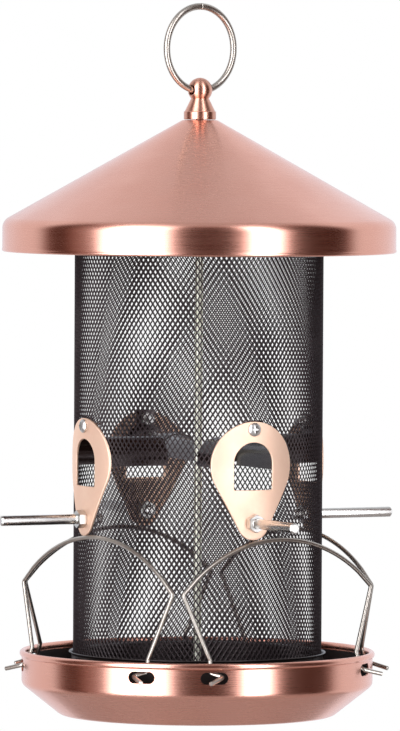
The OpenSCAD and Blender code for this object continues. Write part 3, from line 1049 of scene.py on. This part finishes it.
@dataclass
class Tray:
    """Catch tray of copper sheet: flat floor, slanted side, slotted wall and rolled bead."""

    finishes: Finishes
    sheet: float = 0.8
    bead_r: float = 1.5
    bead_inset: float = 0.5
    bead_radii: float = 2.2
    slant: float = 38.5
    floor_r: float = 69.55
    boss_r: float = 16.0
    boss_recess: float = 8.2
    boss_draft: float = 1.5
    boss_clear: float = 3.0
    bends: tuple[float, ...] = (1.0, 1.8, 6.0, 4.0)
    bend_steps: int = 10
    rod_hole_r: float = 2.1
    slot: tuple[float, float] = (13.9, 6.1)
    slot_drop: float = 6.9
    slot_turn: float = 33.15
    slot_margin: float = 1.2
    slot_rows: int = 9
    guard_turn: float = 12.8
    drain_r: float = 1.5
    drain_ring_r: float = 65.8
    drain_turn: float = 40.0
    drain_count: int = 8
    drain_margin: float = 0.3
    drain_pads: tuple[float, float] = (0.2, 0.14)
    drain_rows: int = 5
    stretch: float = 4.0
    columns: int = 480

    def build(self) -> None:
        """Makes the tray and puts it on its body."""
        wall_r = high("tray")[0] + self.bead_inset - self.bead_r
        height = high("tray")[2]
        bead_h = self.bead_radii * self.bead_r
        slot_z = height - self.slot_drop
        slot_reach = self.slot[1] / 2 + self.slot_margin
        slant_z = (wall_r - self.floor_r) * math.tan(math.radians(self.slant))
        wall_top = height - bead_h - self.bead_inset
        line = rounded([
            (self.rod_hole_r, self.boss_recess), (self.boss_r - self.boss_draft, self.boss_recess),
            (self.boss_r, 0.0), (self.floor_r, 0.0), (wall_r, slant_z), (wall_r, wall_top),
        ], self.bends, self.bend_steps)
        inner_pad, outer_pad = self.drain_pads
        drain = (self.drain_ring_r - self.drain_r - inner_pad, self.drain_ring_r + self.drain_r + outer_pad)
        on_floor = (line[:, 0] > self.boss_r + self.boss_clear) & (line[:, 1] < NEAR)
        floor_at = int(np.flatnonzero(on_floor)[0])
        floor_stations = np.stack([np.linspace(*drain, self.drain_rows), np.zeros(self.drain_rows)], axis=-1)
        slot_top = min(slot_z + slot_reach, wall_top)
        slot_heights = np.linspace(slot_z - slot_reach, slot_top, self.slot_rows)
        slots = np.stack([np.full(self.slot_rows, wall_r), slot_heights], axis=-1)
        line = np.concatenate([line[:floor_at], floor_stations, line[floor_at:-1], slots, line[-1:]])
        steps = np.linalg.norm(np.diff(line, axis=0), axis=1)
        line = spaced(line[np.concatenate([[True], steps > NEAR])], self.stretch)
        sheet = TurnedSheet(line, self.sheet, self.columns)
        self.pierce(sheet, slot_z, slot_reach, drain, wall_r)
        bead_x = wall_r - self.bead_inset
        under, over = (bead_x, height - bead_h + self.bead_r), (bead_x, height - self.bead_r)
        first = math.degrees(math.acos(self.bead_inset / self.bead_r))
        last = math.degrees(math.acos((self.sheet - self.bead_inset) / self.bead_r))
        bead = np.concatenate([
            sheet.near[-1:], arc(under, self.bead_r, -first, 0, FEW_STEPS),
            arc(over, self.bead_r, 0, 180, MORE_STEPS),
            arc(under, self.bead_r, 180, 180 + last, FEW_STEPS), sheet.far[-1:],
        ])
        patches = sheet.face(sheet.near, 0) + sheet.face(sheet.far, 1) + sheet.hole_walls(0)
        patches += [sheet.edge(bead, 0), sheet.edge(np.stack([sheet.near[0], sheet.far[0]]), 0)]
        piece = build("catch_tray", patches, [self.finishes.copper, self.finishes.black])
        set_piece(piece, Body.ROOT, "copper_sheet", "tray")

    def pierce(
        self,
        sheet: TurnedSheet,
        slot_z: float,
        slot_reach: float,
        drain: tuple[float, float],
        wall_r: float,
    ) -> None:
        """Adds the slots of the guards and the drain holes.

        Args:
            sheet: the tray's sheet.
            slot_z: height of the slots' middle.
            slot_reach: half height of the block round a slot.
            drain: inner and outer radius of the block round a drain hole.
            wall_r: radius of the wall.
        """
        r, z = sheet.near.T
        in_wall = np.flatnonzero((abs(r - wall_r) < NEAR) & (abs(z - slot_z) < slot_reach + NEAR))
        in_floor = np.flatnonzero((z < NEAR) & (r > drain[0] - NEAR) & (r < drain[1] + NEAR))
        slot_half = math.degrees(math.asin((self.slot[0] / 2 + self.slot_margin) / wall_r))
        for port in PORTS:
            for side in (-1, 1):
                turn = port.turn + self.guard_turn + side * self.slot_turn
                sheet.pierce(turn, stadium(*self.slot), slot_half, in_wall, True)
        drain_half = math.degrees((self.drain_r + self.drain_margin) / self.drain_ring_r)
        outline = arc((0.0, 0.0), self.drain_r, 0, 360, 2 * MORE_STEPS)[:-1]
        for k in range(self.drain_count):
            sheet.pierce(self.drain_turn + 360 * k / self.drain_count, outline, drain_half, in_floor, False)


# ---- Seed tube -----------------------------------------------------------------------------


@dataclass
class SeedTube:
    """Expanded metal tube in four quarters, one behind each port.

    The sheet is tiled by upright rhombi that stand half a pitch apart. Each rhombus has a smaller
    one cut out of its middle, and the strands between holes are ridged and twisted a little.
    """

    finishes: Finishes
    wall: float = 0.6
    columns: int = 148
    rows: int = 65
    opening: float = 0.72
    ridge: float = 0.17
    twist: float = 0.06
    edge: float = 0.3
    window_half: float = 11.65
    window_low: float = 13.35
    arch_z: float = 130.7
    perch: tuple[float, float] = (100.9, 2.7)
    screw: tuple[float, float] = (147.9, 1.8)
    sharp: float = 50.0

    def build(self) -> None:
        """Makes the four quarters, which stand for the CAD tube together."""
        for port in PORTS:
            name = f"mesh_quarter_{port.number}"
            piece = build(name, self.quarter(port), [self.finishes.mesh_black], sharp=self.sharp)
            set_piece(piece, Body.ROOT, "black_mesh", "mesh_tube")

    def blocked(self, across: np.ndarray, z: np.ndarray) -> np.ndarray:
        """True for points inside the window or the round holes of a port.

        Args:
            across: distances sideways from the port's middle.
            z: heights.

        Returns:
            Array of truths.
        """
        up = z - self.arch_z
        arch = (up >= 0) & (np.hypot(across, up) < self.window_half)
        box = (up < 0) & (up > -self.window_low) & (abs(across) < self.window_half)
        perch = np.hypot(across, z - self.perch[0]) < self.perch[1]
        screw = np.hypot(across, z - self.screw[0]) < self.screw[1]
        return arch | box | perch | screw

    def quarter(self, port: Port) -> list[Patch]:
        """One quarter of the tube as front, back and cut edges.

        Rhombi stand where column plus row is even. Each has four outer corners, one step away from
        its middle, and four inner ones that share a smaller step; both are turned into an angle and
        a height. The ridge sinks the inner corners and the twist sets the side ones in or out.

        Args:
            port: the port in the quarter's middle.

        Returns:
            The patches.
        """
        outer = high("mesh_tube")[0]
        z_low, z_high = low("mesh_tube")[2], high("mesh_tube")[2]
        half_turn = math.pi / self.columns
        half_rise = (z_high - z_low - 2 * self.edge) / (2 * self.rows + 1)
        span = self.columns // 4
        column, row = np.meshgrid(np.arange(-span, span), np.arange(2 * self.rows), indexing="ij")
        stands = (column + row) % 2 == 0
        middle = np.stack([column[stands], row[stands] + 1], axis=-1)
        corner = np.array([[1, 0], [0, 1], [-1, 0], [0, -1]])
        place = middle[:, None, :] + np.concatenate([corner, corner * self.opening])[None]
        turn = place[..., 0] * half_turn
        height = z_low + self.edge + place[..., 1] * half_rise
        free = ~self.blocked(outer * np.sin(turn), height).any(axis=1)
        turn, height = turn[free], height[free]
        inner = np.repeat([0.0, 1.0], 4)
        lean = np.array([0.0, 0.0, 0.0, 0.0, 0.0, -self.twist, 0.0, self.twist])
        front = outer - self.ridge * inner + lean - self.twist * inner
        back = outer - self.wall + self.ridge * inner + lean + self.twist * inner
        points = np.concatenate([
            np.stack([radius * np.cos(turn), radius * np.sin(turn), height], axis=-1).reshape(-1, 3)
            for radius in (front, back)]) @ port.matrix.T
        count = len(points) // 2
        this = np.arange(4)
        after = (this + 1) % 4
        base = np.arange(count // 8)[:, None, None] * 8
        strands = (base + np.stack([this, after, after + 4, this + 4], axis=-1)[None]).reshape(-1, 4)
        holes = (base + np.stack([this + 4, after + 4], axis=-1)[None]).reshape(-1, 2)
        cut = np.concatenate([holes, self.open_edges(points[:count], strands)])
        walls = np.concatenate([cut, cut[:, ::-1] + count], axis=-1)
        return [Patch(points, np.concatenate([strands, strands + count, walls]))]

    def open_edges(self, points: np.ndarray, faces: np.ndarray) -> np.ndarray:
        """Edges between rhombus corners that only one face uses.

        Args:
            points: the front's points; each rhombus has its own copy of its corners.
            faces: the front's faces.

        Returns:
            Array of n by 2 point numbers.
        """
        keys = np.round(points * WELD / 2).astype(np.int64)
        _, number = np.unique(keys, axis=0, return_inverse=True)
        edges = faces[:, :2]
        pair = np.sort(number.reshape(-1)[edges], axis=1)
        _, where, uses = np.unique(pair, axis=0, return_index=True, return_counts=True)
        return edges[where[uses == 1]]


@dataclass
class BaseRing:
    """Strip round the tube's foot with a flared lip and an open seam."""

    finishes: Finishes
    sheet: float = 0.8
    gap: float = 0.05
    rise: float = 30.4
    lip_r: float = 1.2
    lip_turn: float = 70.0
    lip_reach: float = 1.1
    seam_turn: float = 310.0
    seam_w: float = 0.4
    stretch: float = 5.0
    columns: int = 300

    def build(self) -> None:
        """Makes the ring and puts it on its body."""
        outer_r = high("mesh_tube")[0] + self.gap + self.sheet
        foot = low("base_ring")[2]
        corner = np.array([outer_r, foot + self.rise])
        lean = math.radians(self.lip_turn)
        tip = corner + self.lip_reach * np.array([math.sin(lean), math.cos(lean)])
        near = spaced(rounded([(outer_r, foot), corner, tip], [self.lip_r]), self.stretch)
        far = beside(near, self.sheet)
        edge = round_cap(near[-1], far[-1], 6)
        section = np.concatenate([near[:-1], edge, far[:-1][::-1]])
        slit = math.degrees(self.seam_w / outer_r)
        patches = revolved(section, self.columns, start=self.seam_turn + slit / 2, sweep=360 - slit)
        piece = build("base_ring_strip", patches, [self.finishes.black])
        set_piece(piece, Body.ROOT, "black_lacquer", "base_ring")


# ---- Ports ---------------------------------------------------------------------------------


@dataclass
class PortPlate:
    """Egg-shaped copper plate, bent to the tube, with an arched window and broken edges.

    The section runs along rays from a point inside the window. A point's place outwards is the root
    of radius squared less across squared, which bends the flat plate round the tube.
    """

    finishes: Finishes
    port: Port
    thickness: float = 1.0
    top_r: float = 22.1
    low_r: float = 8.6
    span: float = 28.9
    drop: float = 0.9
    window_r: float = 10.7
    window_drop: float = 13.2
    corner_r: float = 1.0
    corner_steps: int = 6
    edge_r: float = 0.3
    edge_steps: int = 5
    centre_drop: float = 2.0
    rays: int = 192
    rows: int = 18

    def build(self) -> None:
        """Makes the plate and puts it on its body."""
        node = f"port_plate_{self.port.number}"
        arch_z = high(node)[2] - self.top_r + self.drop
        tube_r = high("mesh_tube")[0]
        top = np.array([0.0, arch_z - self.drop])
        foot = top - [0.0, self.span]
        lean = math.degrees(math.asin((self.top_r - self.low_r) / self.span))
        egg = np.concatenate([
            arc(top, self.top_r, -lean, 180 + lean, 2 * MANY_STEPS),
            arc(foot, self.low_r, 180 + lean, 360 - lean, MANY_STEPS)])
        window = self.window(arch_z)
        centre = np.array([0.0, arch_z - self.centre_drop])
        angle = np.linspace(0, FULL_TURN, self.rays, endpoint=False)
        corners = window - centre
        angle = np.sort(np.concatenate([angle, np.arctan2(corners[:, 1], corners[:, 0]) % FULL_TURN]))
        angle = angle[np.concatenate([[True], np.diff(angle) > 1e-4])]
        way = np.stack([np.cos(angle), np.sin(angle)], axis=-1)
        inner, outer = convex_reach(window, centre, way), convex_reach(egg, centre, way)
        share, lift = self.section()
        inwards = np.where(share < 0.5, 1.0, -1.0) * self.inset()
        reach = inner + share[:, None] * (outer - inner) + inwards[:, None]
        across = reach * way[:, 0]
        height = centre[1] + reach * way[:, 1]
        radius = tube_r + lift[:, None]
        points = np.stack([np.sqrt(radius**2 - across**2), across, height], axis=-1) @ self.port.matrix.T
        skin = grid(points, wrap_rows=True, wrap_cols=True)
        piece = build(f"{node}_shell", [skin], [self.finishes.plate_copper])
        set_piece(piece, Body.ROOT, "copper_sheet", node)

    def window(self, arch_z: float) -> np.ndarray:
        """Outline of the arched window, anticlockwise from its right shoulder.

        Args:
            arch_z: height of the arch's middle.

        Returns:
            Array of points, across and up.
        """
        low_z, r = arch_z - self.window_drop, self.corner_r
        left, right = -self.window_r + r, self.window_r - r
        return np.concatenate([
            arc((0.0, arch_z), self.window_r, 0, 180, MANY_STEPS),
            arc((left, low_z + r), r, 180, 270, self.corner_steps),
            arc((right, low_z + r), r, 270, 360, self.corner_steps)])

    def section(self) -> tuple[np.ndarray, np.ndarray]:
        """The plate's section: share of the way from window to outline, and lift off the tube.

        Returns:
            The shares and the lifts, once round the section.
        """
        a = np.radians(np.linspace(0, 90, self.edge_steps))
        edge = self.thickness - self.edge_r + self.edge_r * np.sin(a)
        face = np.linspace(0, 1, self.rows)[1:-1]
        side = self.edge_steps + 1
        share = np.concatenate([np.zeros(side), face, np.ones(side), face[::-1]])
        outside, inside = np.full(len(face), self.thickness), np.zeros(len(face))
        return share, np.concatenate([[0.0], edge, outside, edge[::-1], [0.0], inside])

    def inset(self) -> np.ndarray:
        """How far each point of the section stands in from the cut edge, for the broken edges.

        Returns:
            The insets, once round the section.
        """
        a = np.radians(np.linspace(0, 90, self.edge_steps))
        edge = self.edge_r * (1 - np.cos(a))
        face = np.zeros(self.rows - 2)
        return np.concatenate([[0.0], edge, face, edge[::-1], [0.0], face])


@dataclass
class ThreadedBar:
    """Round bar along +Z with cut threads on some stretches and chamfered ends."""

    start: float
    stop: float
    radius: float
    threads: tuple[tuple[float, float], ...]
    pitch: float = 0.8
    depth: float = 0.3
    chamfer: float = 0.6
    sides: int = 36
    turns_per_step: int = 8

    def patches(self) -> list[Patch]:
        """The bar's side and ends: radius less the thread's depth times a triangle wave.

        The wave runs with height over pitch less angle over a full turn, which winds it to a helix.
        It fades in over one pitch at each end of a thread.

        Returns:
            The patches.
        """
        stations = [np.array([self.start, self.start + self.chamfer, self.stop - self.chamfer, self.stop])]
        stations += [np.arange(a, b, self.pitch / self.turns_per_step) for a, b in self.threads]
        z = np.unique(np.round(np.concatenate(stations), 4))
        a = np.linspace(0, FULL_TURN, self.sides, endpoint=False)
        wave = abs(((z[:, None] / self.pitch - a / FULL_TURN) % 1.0) * 2 - 1)
        cut = np.zeros_like(z)
        for first, last in self.threads:
            inside = np.minimum(z - first, last - z) / self.pitch
            cut = np.maximum(cut, np.clip(inside, 0, 1))
        slope = np.minimum(np.minimum(z - self.start, self.stop - z), self.chamfer) - self.chamfer
        r = self.radius + slope[:, None] - self.depth * cut[:, None] * wave
        points = np.stack([r * np.cos(a), r * np.sin(a), np.broadcast_to(z[:, None], r.shape)], axis=-1)
        return [grid(points, wrap_cols=True), fan(points[0]), fan(points[-1])]


@dataclass
class Perch:
    """Steel perch rod through the tube, threaded where its nuts sit."""

    finishes: Finishes
    port: Port
    radius: float = 2.6
    thread_past_nut: float = 1.6
    nut_h: float = 4.0
    plate_t: float = 1.0

    def build(self) -> None:
        """Makes the rod and puts it on its body."""
        node = f"perch_{self.port.number}"
        tube_r = high("mesh_tube")[0]
        box = np.stack([low(node), high(node)]) @ self.port.matrix
        start, stop = box[:, 0].min(), box[:, 0].max()
        height = (low(node)[2] + high(node)[2]) / 2
        thread_end = tube_r + self.plate_t + self.nut_h + self.thread_past_nut
        bar = ThreadedBar(start, stop, self.radius, ((start + ThreadedBar.chamfer, thread_end),))
        patches = [along_x(patch).raised(height).moved(self.port.matrix) for patch in bar.patches()]
        piece = build(f"{node}_rod", patches, [self.finishes.perch_steel])
        set_piece(piece, Body.ROOT, "perch_steel", node)


@dataclass
class TieRod:
    """Rod through the middle with a thread at each end."""

    finishes: Finishes
    pitch: float = 0.7
    low_thread: float = 26.0
    high_thread: float = 22.0

    def build(self) -> None:
        """Makes the rod and puts it on its body."""
        radius, start, stop = high("tie_rod")[0], low("tie_rod")[2], high("tie_rod")[2]
        chamfer = ThreadedBar.chamfer
        threads = ((start + chamfer, start + self.low_thread), (stop - self.high_thread, stop - chamfer))
        bar = ThreadedBar(start, stop, radius, threads, self.pitch)
        piece = build("tie_rod_bar", bar.patches(), [self.finishes.yellow_zinc])
        set_piece(piece, Body.ROOT, "yellow_zinc", "tie_rod")


# ---- Finial and ring -----------------------------------------------------------------------


@dataclass
class Finial:
    """Turned knob: band, cone and a ball with a cross hole for the ring."""

    finishes: Finishes
    band_r: float = 8.2
    band_h: float = 4.0
    cone_h: float = 6.7
    waist_r: float = 4.5
    ball_r: float = 6.2
    eye_r: float = 2.5
    bore_r: float = 2.05
    bore_depth: float = 9.8
    bore_cone: float = 1.0
    edge_r: float = 0.5
    waist_round: float = 0.9
    neck_r: float = 4.0
    neck_h: float = 1.6
    eye_edge: float = 0.35
    eye_edge_turn: float = 4.0

    def build(self) -> None:
        """Makes the knob and puts it on its body."""
        foot = low("finial")[2]
        axis = np.array(joint("ring_swing")["axis"])
        ball_z = high("finial")[2] - self.ball_r
        neck = foot + self.band_h + self.cone_h
        body = rounded([
            (0.0, foot + self.bore_depth + self.bore_cone), (self.bore_r, foot + self.bore_depth),
            (self.bore_r, foot), (self.band_r, foot), (self.band_r, foot + self.band_h),
            (self.band_r - self.edge_r, foot + self.band_h + self.edge_r / 2),
            (self.waist_r, neck), (self.neck_r, neck + self.neck_h), (0.0, neck + self.neck_h),
        ], [0.1, 0.2, self.edge_r, self.edge_r * 0.9, 0.2, self.waist_round, 0.2], 6)
        body[0, 0] = body[-1, 0] = 0.0
        patches = revolved(spaced(body, 1.5), 128, closed=False)
        patches += self.ball(ball_z, math.degrees(math.atan2(axis[1], axis[0])))
        piece = build("finial_knob", patches, [self.finishes.turned_copper])
        set_piece(piece, Body.FINIAL, "turned_copper", "finial")

    def ball(self, height: float, turn: float) -> list[Patch]:
        """A sphere with a hole right through, turned about the hole's axis.

        The profile runs along the hole's wall, round its edge, over the sphere and back.

        Args:
            height: height of the ball's centre.
            turn: direction of the hole in degrees.

        Returns:
            The patches.
        """
        edge = math.degrees(math.asin(self.eye_r / self.ball_r))
        first = edge + self.eye_edge_turn
        over = arc((0.0, 0.0), self.ball_r, first, 180 - first, 60)
        sphere = np.stack([over[:, 1], over[:, 0]], axis=-1)
        depth = self.ball_r * math.cos(math.radians(edge)) - self.eye_edge
        bore = np.stack([np.full(9, self.eye_r), np.linspace(-depth, depth, 9)], axis=-1)
        turned = revolved(np.concatenate([sphere, bore]), 2 * MANY_STEPS)
        return [along_x(patch).moved(turn_about_z(turn)).raised(height) for patch in turned]


@dataclass
class HangingRing:
    """Split ring of round wire through the finial's cross hole."""

    finishes: Finishes
    wire_r: float = 1.7
    slit: float = 1.0
    chamfer: float = 0.25
    sides: int = 28
    steps: int = 241

    def build(self) -> None:
        """Makes the ring and puts it on its body."""
        axis = np.array(joint("ring_swing")["axis"])
        top, foot = high("hanging_ring")[2], low("hanging_ring")[2]
        mean_r, middle = (top - foot) / 2 - self.wire_r, (top + foot) / 2
        a = np.radians(np.linspace(90 + self.slit / 2, 450 - self.slit / 2, self.steps))
        up = np.array([0.0, 0.0, 1.0])
        line = middle * up + mean_r * (np.outer(np.cos(a), axis) + np.outer(np.sin(a), up))
        patches = wire(line, self.wire_r, self.sides, np.cross(axis, up), self.chamfer)
        piece = build("hanging_ring_wire", patches, [self.finishes.nickel])
        set_piece(piece, Body.RING, "nickel_wire", "hanging_ring")


@dataclass
class WireGuard:
    """Arched wire guard: hooks through two slots of the tray wall, legs, corners and a long arch."""

    finishes: Finishes
    port: Port
    guard_turn: float = 12.8
    wire_r: float = 1.1
    bend_r: float = 1.6
    corner_w: float = 60.9
    corner_z: float = 66.7
    rise: float = 25.6
    gap: float = 1.1
    corner_inset: float = 0.8
    tip: tuple[float, float, float] = (8.2, 34.7, -2.6)
    hinge: tuple[float, float, float] = (-0.4, 30.2, 0.0)
    foot: tuple[float, float, float] = (-3.5, 34.2, 1.8)
    leg: tuple[float, float, float] = (-5.3, 34.4, 8.1)
    slot_drop: float = 6.9
    bead_proud: float = 1.0
    chamfer: float = 0.2
    sides: int = 20
    across: tuple[float, float, float] = (1.0, 0.0, 0.35)
    arch_skip: int = 4
    stretch: float = 3.0

    def build(self) -> None:
        """Makes the guard and puts it on its body."""
        node = f"wire_guard_{self.port.number}"
        matrix = turn_about_z(self.port.turn + self.guard_turn)
        patches = wire(self.line() @ matrix.T, self.wire_r, self.sides, matrix @ self.across, self.chamfer)
        piece = build(f"{node}_wire", patches, [self.finishes.nickel])
        set_piece(piece, Body(f"guard_{self.port.number}"), "nickel_wire", node)

    def station(self, place: tuple[float, float, float]) -> np.ndarray:
        """Point of the wire's centre line.

        Args:
            place: distance outside the tray wall, angle in degrees and height over the slots.

        Returns:
            The point.
        """
        beyond, turn, rise = place
        a = math.radians(turn)
        r = high("tray")[0] - self.bead_proud + beyond
        return np.array([r * math.cos(a), r * math.sin(a), high("tray")[2] - self.slot_drop + rise])

    def line(self) -> np.ndarray:
        """The wire's centre line with X pointing out through the guard's middle.

        One half runs from the hook's tip to the corner; the arch is a round arc through both
        corners that leans towards the tube; the other half is the first one mirrored in Y.

        Returns:
            Array of points.
        """
        top_x = high("mesh_tube")[0] + self.gap + self.wire_r
        corner = np.array([top_x - self.corner_inset, self.corner_w, self.corner_z])
        stations = [self.station(p) for p in (self.tip, self.hinge, self.foot, self.leg)]
        lean = math.atan2(self.corner_inset, self.rise)
        rise = self.rise / math.cos(lean)
        arch_r = (self.corner_w**2 + rise**2) / (2 * rise)
        half = math.asin(self.corner_w / arch_r)
        a = np.linspace(half, -half, 49)
        drop = arch_r * (1 - np.cos(a))
        top_z = self.corner_z + self.rise
        arch = np.stack([
            top_x - drop * math.sin(lean), arch_r * np.sin(a), top_z - drop * math.cos(lean)], axis=-1)
        arch = arch[self.arch_skip:-self.arch_skip]
        side = rounded([*stations, corner, arch[0]], [self.bend_r] * 4, 10)[:-1]
        other = (side * [1.0, -1.0, 1.0])[::-1]
        return spaced(np.concatenate([side, arch, other]), self.stretch)


def dress_all(finishes: Finishes) -> None:
    """Dresses every CAD node by the start of its name.

    Args:
        finishes: the materials.
    """
    by_start = {
        "roof": finishes.copper, "finial": finishes.turned_copper, "hanging": finishes.nickel,
        "wire": finishes.nickel, "tray": finishes.copper, "port_plate": finishes.copper,
        "port_hood": finishes.hood_black, "port_screw": finishes.zinc, "perch_outer": finishes.zinc,
        "perch_inner": finishes.zinc, "perch": finishes.perch_steel, "base": finishes.black,
        "floor": finishes.black, "mesh": finishes.mesh_black, "top": finishes.black,
        "tie": finishes.yellow_zinc, "rod": finishes.zinc,
    }
    for node in frame["nodes"]:
        start = next(key for key in by_start if node.startswith(key))
        dress(node, by_start[start])


# ---- Studio --------------------------------------------------------------------------------


@dataclass
class Studio:
    """Camera, floor and soft light. Angles are in degrees and lengths in metres."""

    azimuth: float = -25.95
    height: float = 0.3294
    distance: float = 3.816
    tilt: float = 2.278
    roll: float = 0.3
    pan: float = 0.0104
    lens: float = 370.2
    floor_drop: float = 0.8
    floor_r: float = 1.4
    floor_colour: tuple[float, ...] = (0.44, 0.40, 0.38, 1.0)
    floor_cloud: tuple[float, ...] = (0.41, 0.37, 0.35, 1.0)
    # Softboxes and dark screens round the feeder: angle from the camera's side and brightness
    wall: tuple[tuple[float, float], ...] = (
        (-180, 0.95), (-110, 0.95), (-99, 0.10), (-86, 0.06), (-77, 0.28), (-63, 0.42), (-54, 5.5),
        (-24, 5.5), (-15, 0.30), (-9, 0.06), (20, 0.06), (28, 0.35), (33, 6.0), (45, 6.0), (53, 0.3),
        (61, 0.05), (95, 0.05), (107, 0.95), (180, 1.0))
    above: float = 0.58
    dark_tint: tuple[float, float, float] = (1.0, 0.30, 0.14)
    light_tint: tuple[float, float, float] = (0.95, 1.0, 1.10)
    tint_span: tuple[float, float] = (0.05, 0.60)
    band_top: tuple[float, float] = (0.70, 0.93)
    scale: float = 8.0

    def build(self) -> None:
        """Makes the camera, the floor and the light."""
        self.camera()
        self.floor()
        self.world()
        bpy.context.scene.view_settings.view_transform = "Standard"

    def camera(self) -> None:
        """Places the camera on a level circle round the feeder and aims it."""
        data = bpy.data.cameras.new("camera")
        data.lens = self.lens
        data.sensor_width = 36.0
        data.clip_start, data.clip_end = 0.1, 50.0
        camera = bpy.data.objects.new("camera", data)
        bpy.context.scene.collection.objects.link(camera)
        a = math.radians(self.azimuth)
        camera.location = (math.sin(a) * self.distance, -math.cos(a) * self.distance, self.height)
        heading = Matrix.Rotation(a - math.radians(self.pan), 4, "Z")
        down = Matrix.Rotation(math.radians(90.0 - self.tilt), 4, "X")
        lean = Matrix.Rotation(math.radians(self.roll), 4, "Z")
        camera.rotation_euler = (heading @ down @ lean).to_euler()
        bpy.context.scene.camera = camera

    def floor(self) -> None:
        """A pale round floor well below the hanging feeder."""
        radius = np.linspace(0.0, self.floor_r / MM, 9)
        profile = np.stack([radius, np.full(9, -self.floor_drop / MM)], axis=-1)
        g = Graph("pale_floor")
        colour = g.mix(g.noise(g.place, 1.5), self.floor_colour, self.floor_cloud)
        g.link(colour, g.shader.inputs["Base Color"])
        g.shader.inputs["Roughness"].default_value = 0.8
        g.open_from_behind()
        floor = build("floor", revolved(profile, 96, closed=False), [g.material])
        floor.data.flip_normals()

    def world(self) -> None:
        """Light from all sides, brighter and darker by direction as softboxes and screens are."""
        world = bpy.data.worlds.new("studio")
        world.use_nodes = True
        tree = world.node_tree
        tree.nodes.clear()
        new, link = tree.nodes.new, tree.links.new

        def number(operation: str, *values: object) -> bpy.types.NodeSocket:
            """One step of arithmetic.

            Args:
                operation: the node's operation.
                values: sockets or numbers.

            Returns:
                The result.
            """
            node = new("ShaderNodeMath")
            node.operation = operation
            for socket, value in zip(node.inputs, values):
                if isinstance(value, bpy.types.NodeSocket):
                    link(value, socket)
                else:
                    socket.default_value = value
            return node.outputs[0]

        split = new("ShaderNodeSeparateXYZ")
        link(new("ShaderNodeTexCoord").outputs["Generated"], split.inputs[0])
        x, y, z = split.outputs
        a = math.radians(self.azimuth)
        front = number("SUBTRACT", number("MULTIPLY", x, math.sin(a)), number("MULTIPLY", y, math.cos(a)))
        side = number("ADD", number("MULTIPLY", x, math.cos(a)), number("MULTIPLY", y, math.sin(a)))
        turn = number("ADD", number("DIVIDE", number("ARCTAN2", side, front), FULL_TURN), 0.5)
        ramp = new("ShaderNodeValToRGB")
        stops = ramp.color_ramp.elements
        for k, (angle, value) in enumerate(self.wall):
            place = angle / 360.0 + 0.5
            stop = stops[k] if k < 2 else stops.new(place)
            stop.position = place
            stop.color = (*(value / self.scale,) * 3, 1.0)
        link(turn, ramp.inputs[0])
        wall = number("MULTIPLY", ramp.outputs[0], self.scale)
        rise = new("ShaderNodeMapRange")
        rise.interpolation_type = "SMOOTHSTEP"
        link(number("ABSOLUTE", z), rise.inputs["Value"])
        rise.inputs["From Min"].default_value = self.band_top[0]
        rise.inputs["From Max"].default_value = self.band_top[1]
        share = rise.outputs["Result"]
        kept = number("MULTIPLY", wall, number("SUBTRACT", 1.0, share))
        strength = number("ADD", kept, number("MULTIPLY", share, self.above))
        lit = new("ShaderNodeBackground")
        link(strength, lit.inputs["Strength"])
        tint = new("ShaderNodeMix")
        tint.data_type = "RGBA"
        lightness = new("ShaderNodeMapRange")
        link(strength, lightness.inputs["Value"])
        lightness.inputs["From Min"].default_value = self.tint_span[0]
        lightness.inputs["From Max"].default_value = self.tint_span[1]
        link(lightness.outputs["Result"], tint.inputs["Factor"])
        tint.inputs[6].default_value = (*self.dark_tint, 1.0)
        tint.inputs[7].default_value = (*self.light_tint, 1.0)
        link(tint.outputs[2], lit.inputs["Color"])
        plain = new("ShaderNodeBackground")
        mix = new("ShaderNodeMixShader")
        plain.inputs["Color"].default_value = (1.0, 1.0, 1.0, 1.0)
        link(new("ShaderNodeLightPath").outputs["Is Camera Ray"], mix.inputs[0])
        link(lit.outputs[0], mix.inputs[1])
        link(plain.outputs[0], mix.inputs[2])
        link(mix.outputs[0], new("ShaderNodeOutputWorld").inputs["Surface"])
        bpy.context.scene.world = world


# ---- Main ----------------------------------------------------------------------------------


def main() -> None:
    """Builds the feeder, piece by piece, and the studio round it."""
    logging.basicConfig(level=logging.INFO, format="%(message)s")
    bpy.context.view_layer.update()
    finishes = Finishes()
    dress_all(finishes)
    kinds = (Roof, Tray, SeedTube, BaseRing, TieRod, Finial, HangingRing)
    parts = [kind(finishes) for kind in kinds]
    parts += [kind(finishes, port) for port in PORTS for kind in (PortPlate, Perch, WireGuard)]
    for part in parts:
        part.build()
    Studio().build()


if __name__ == "__main__":
    main()
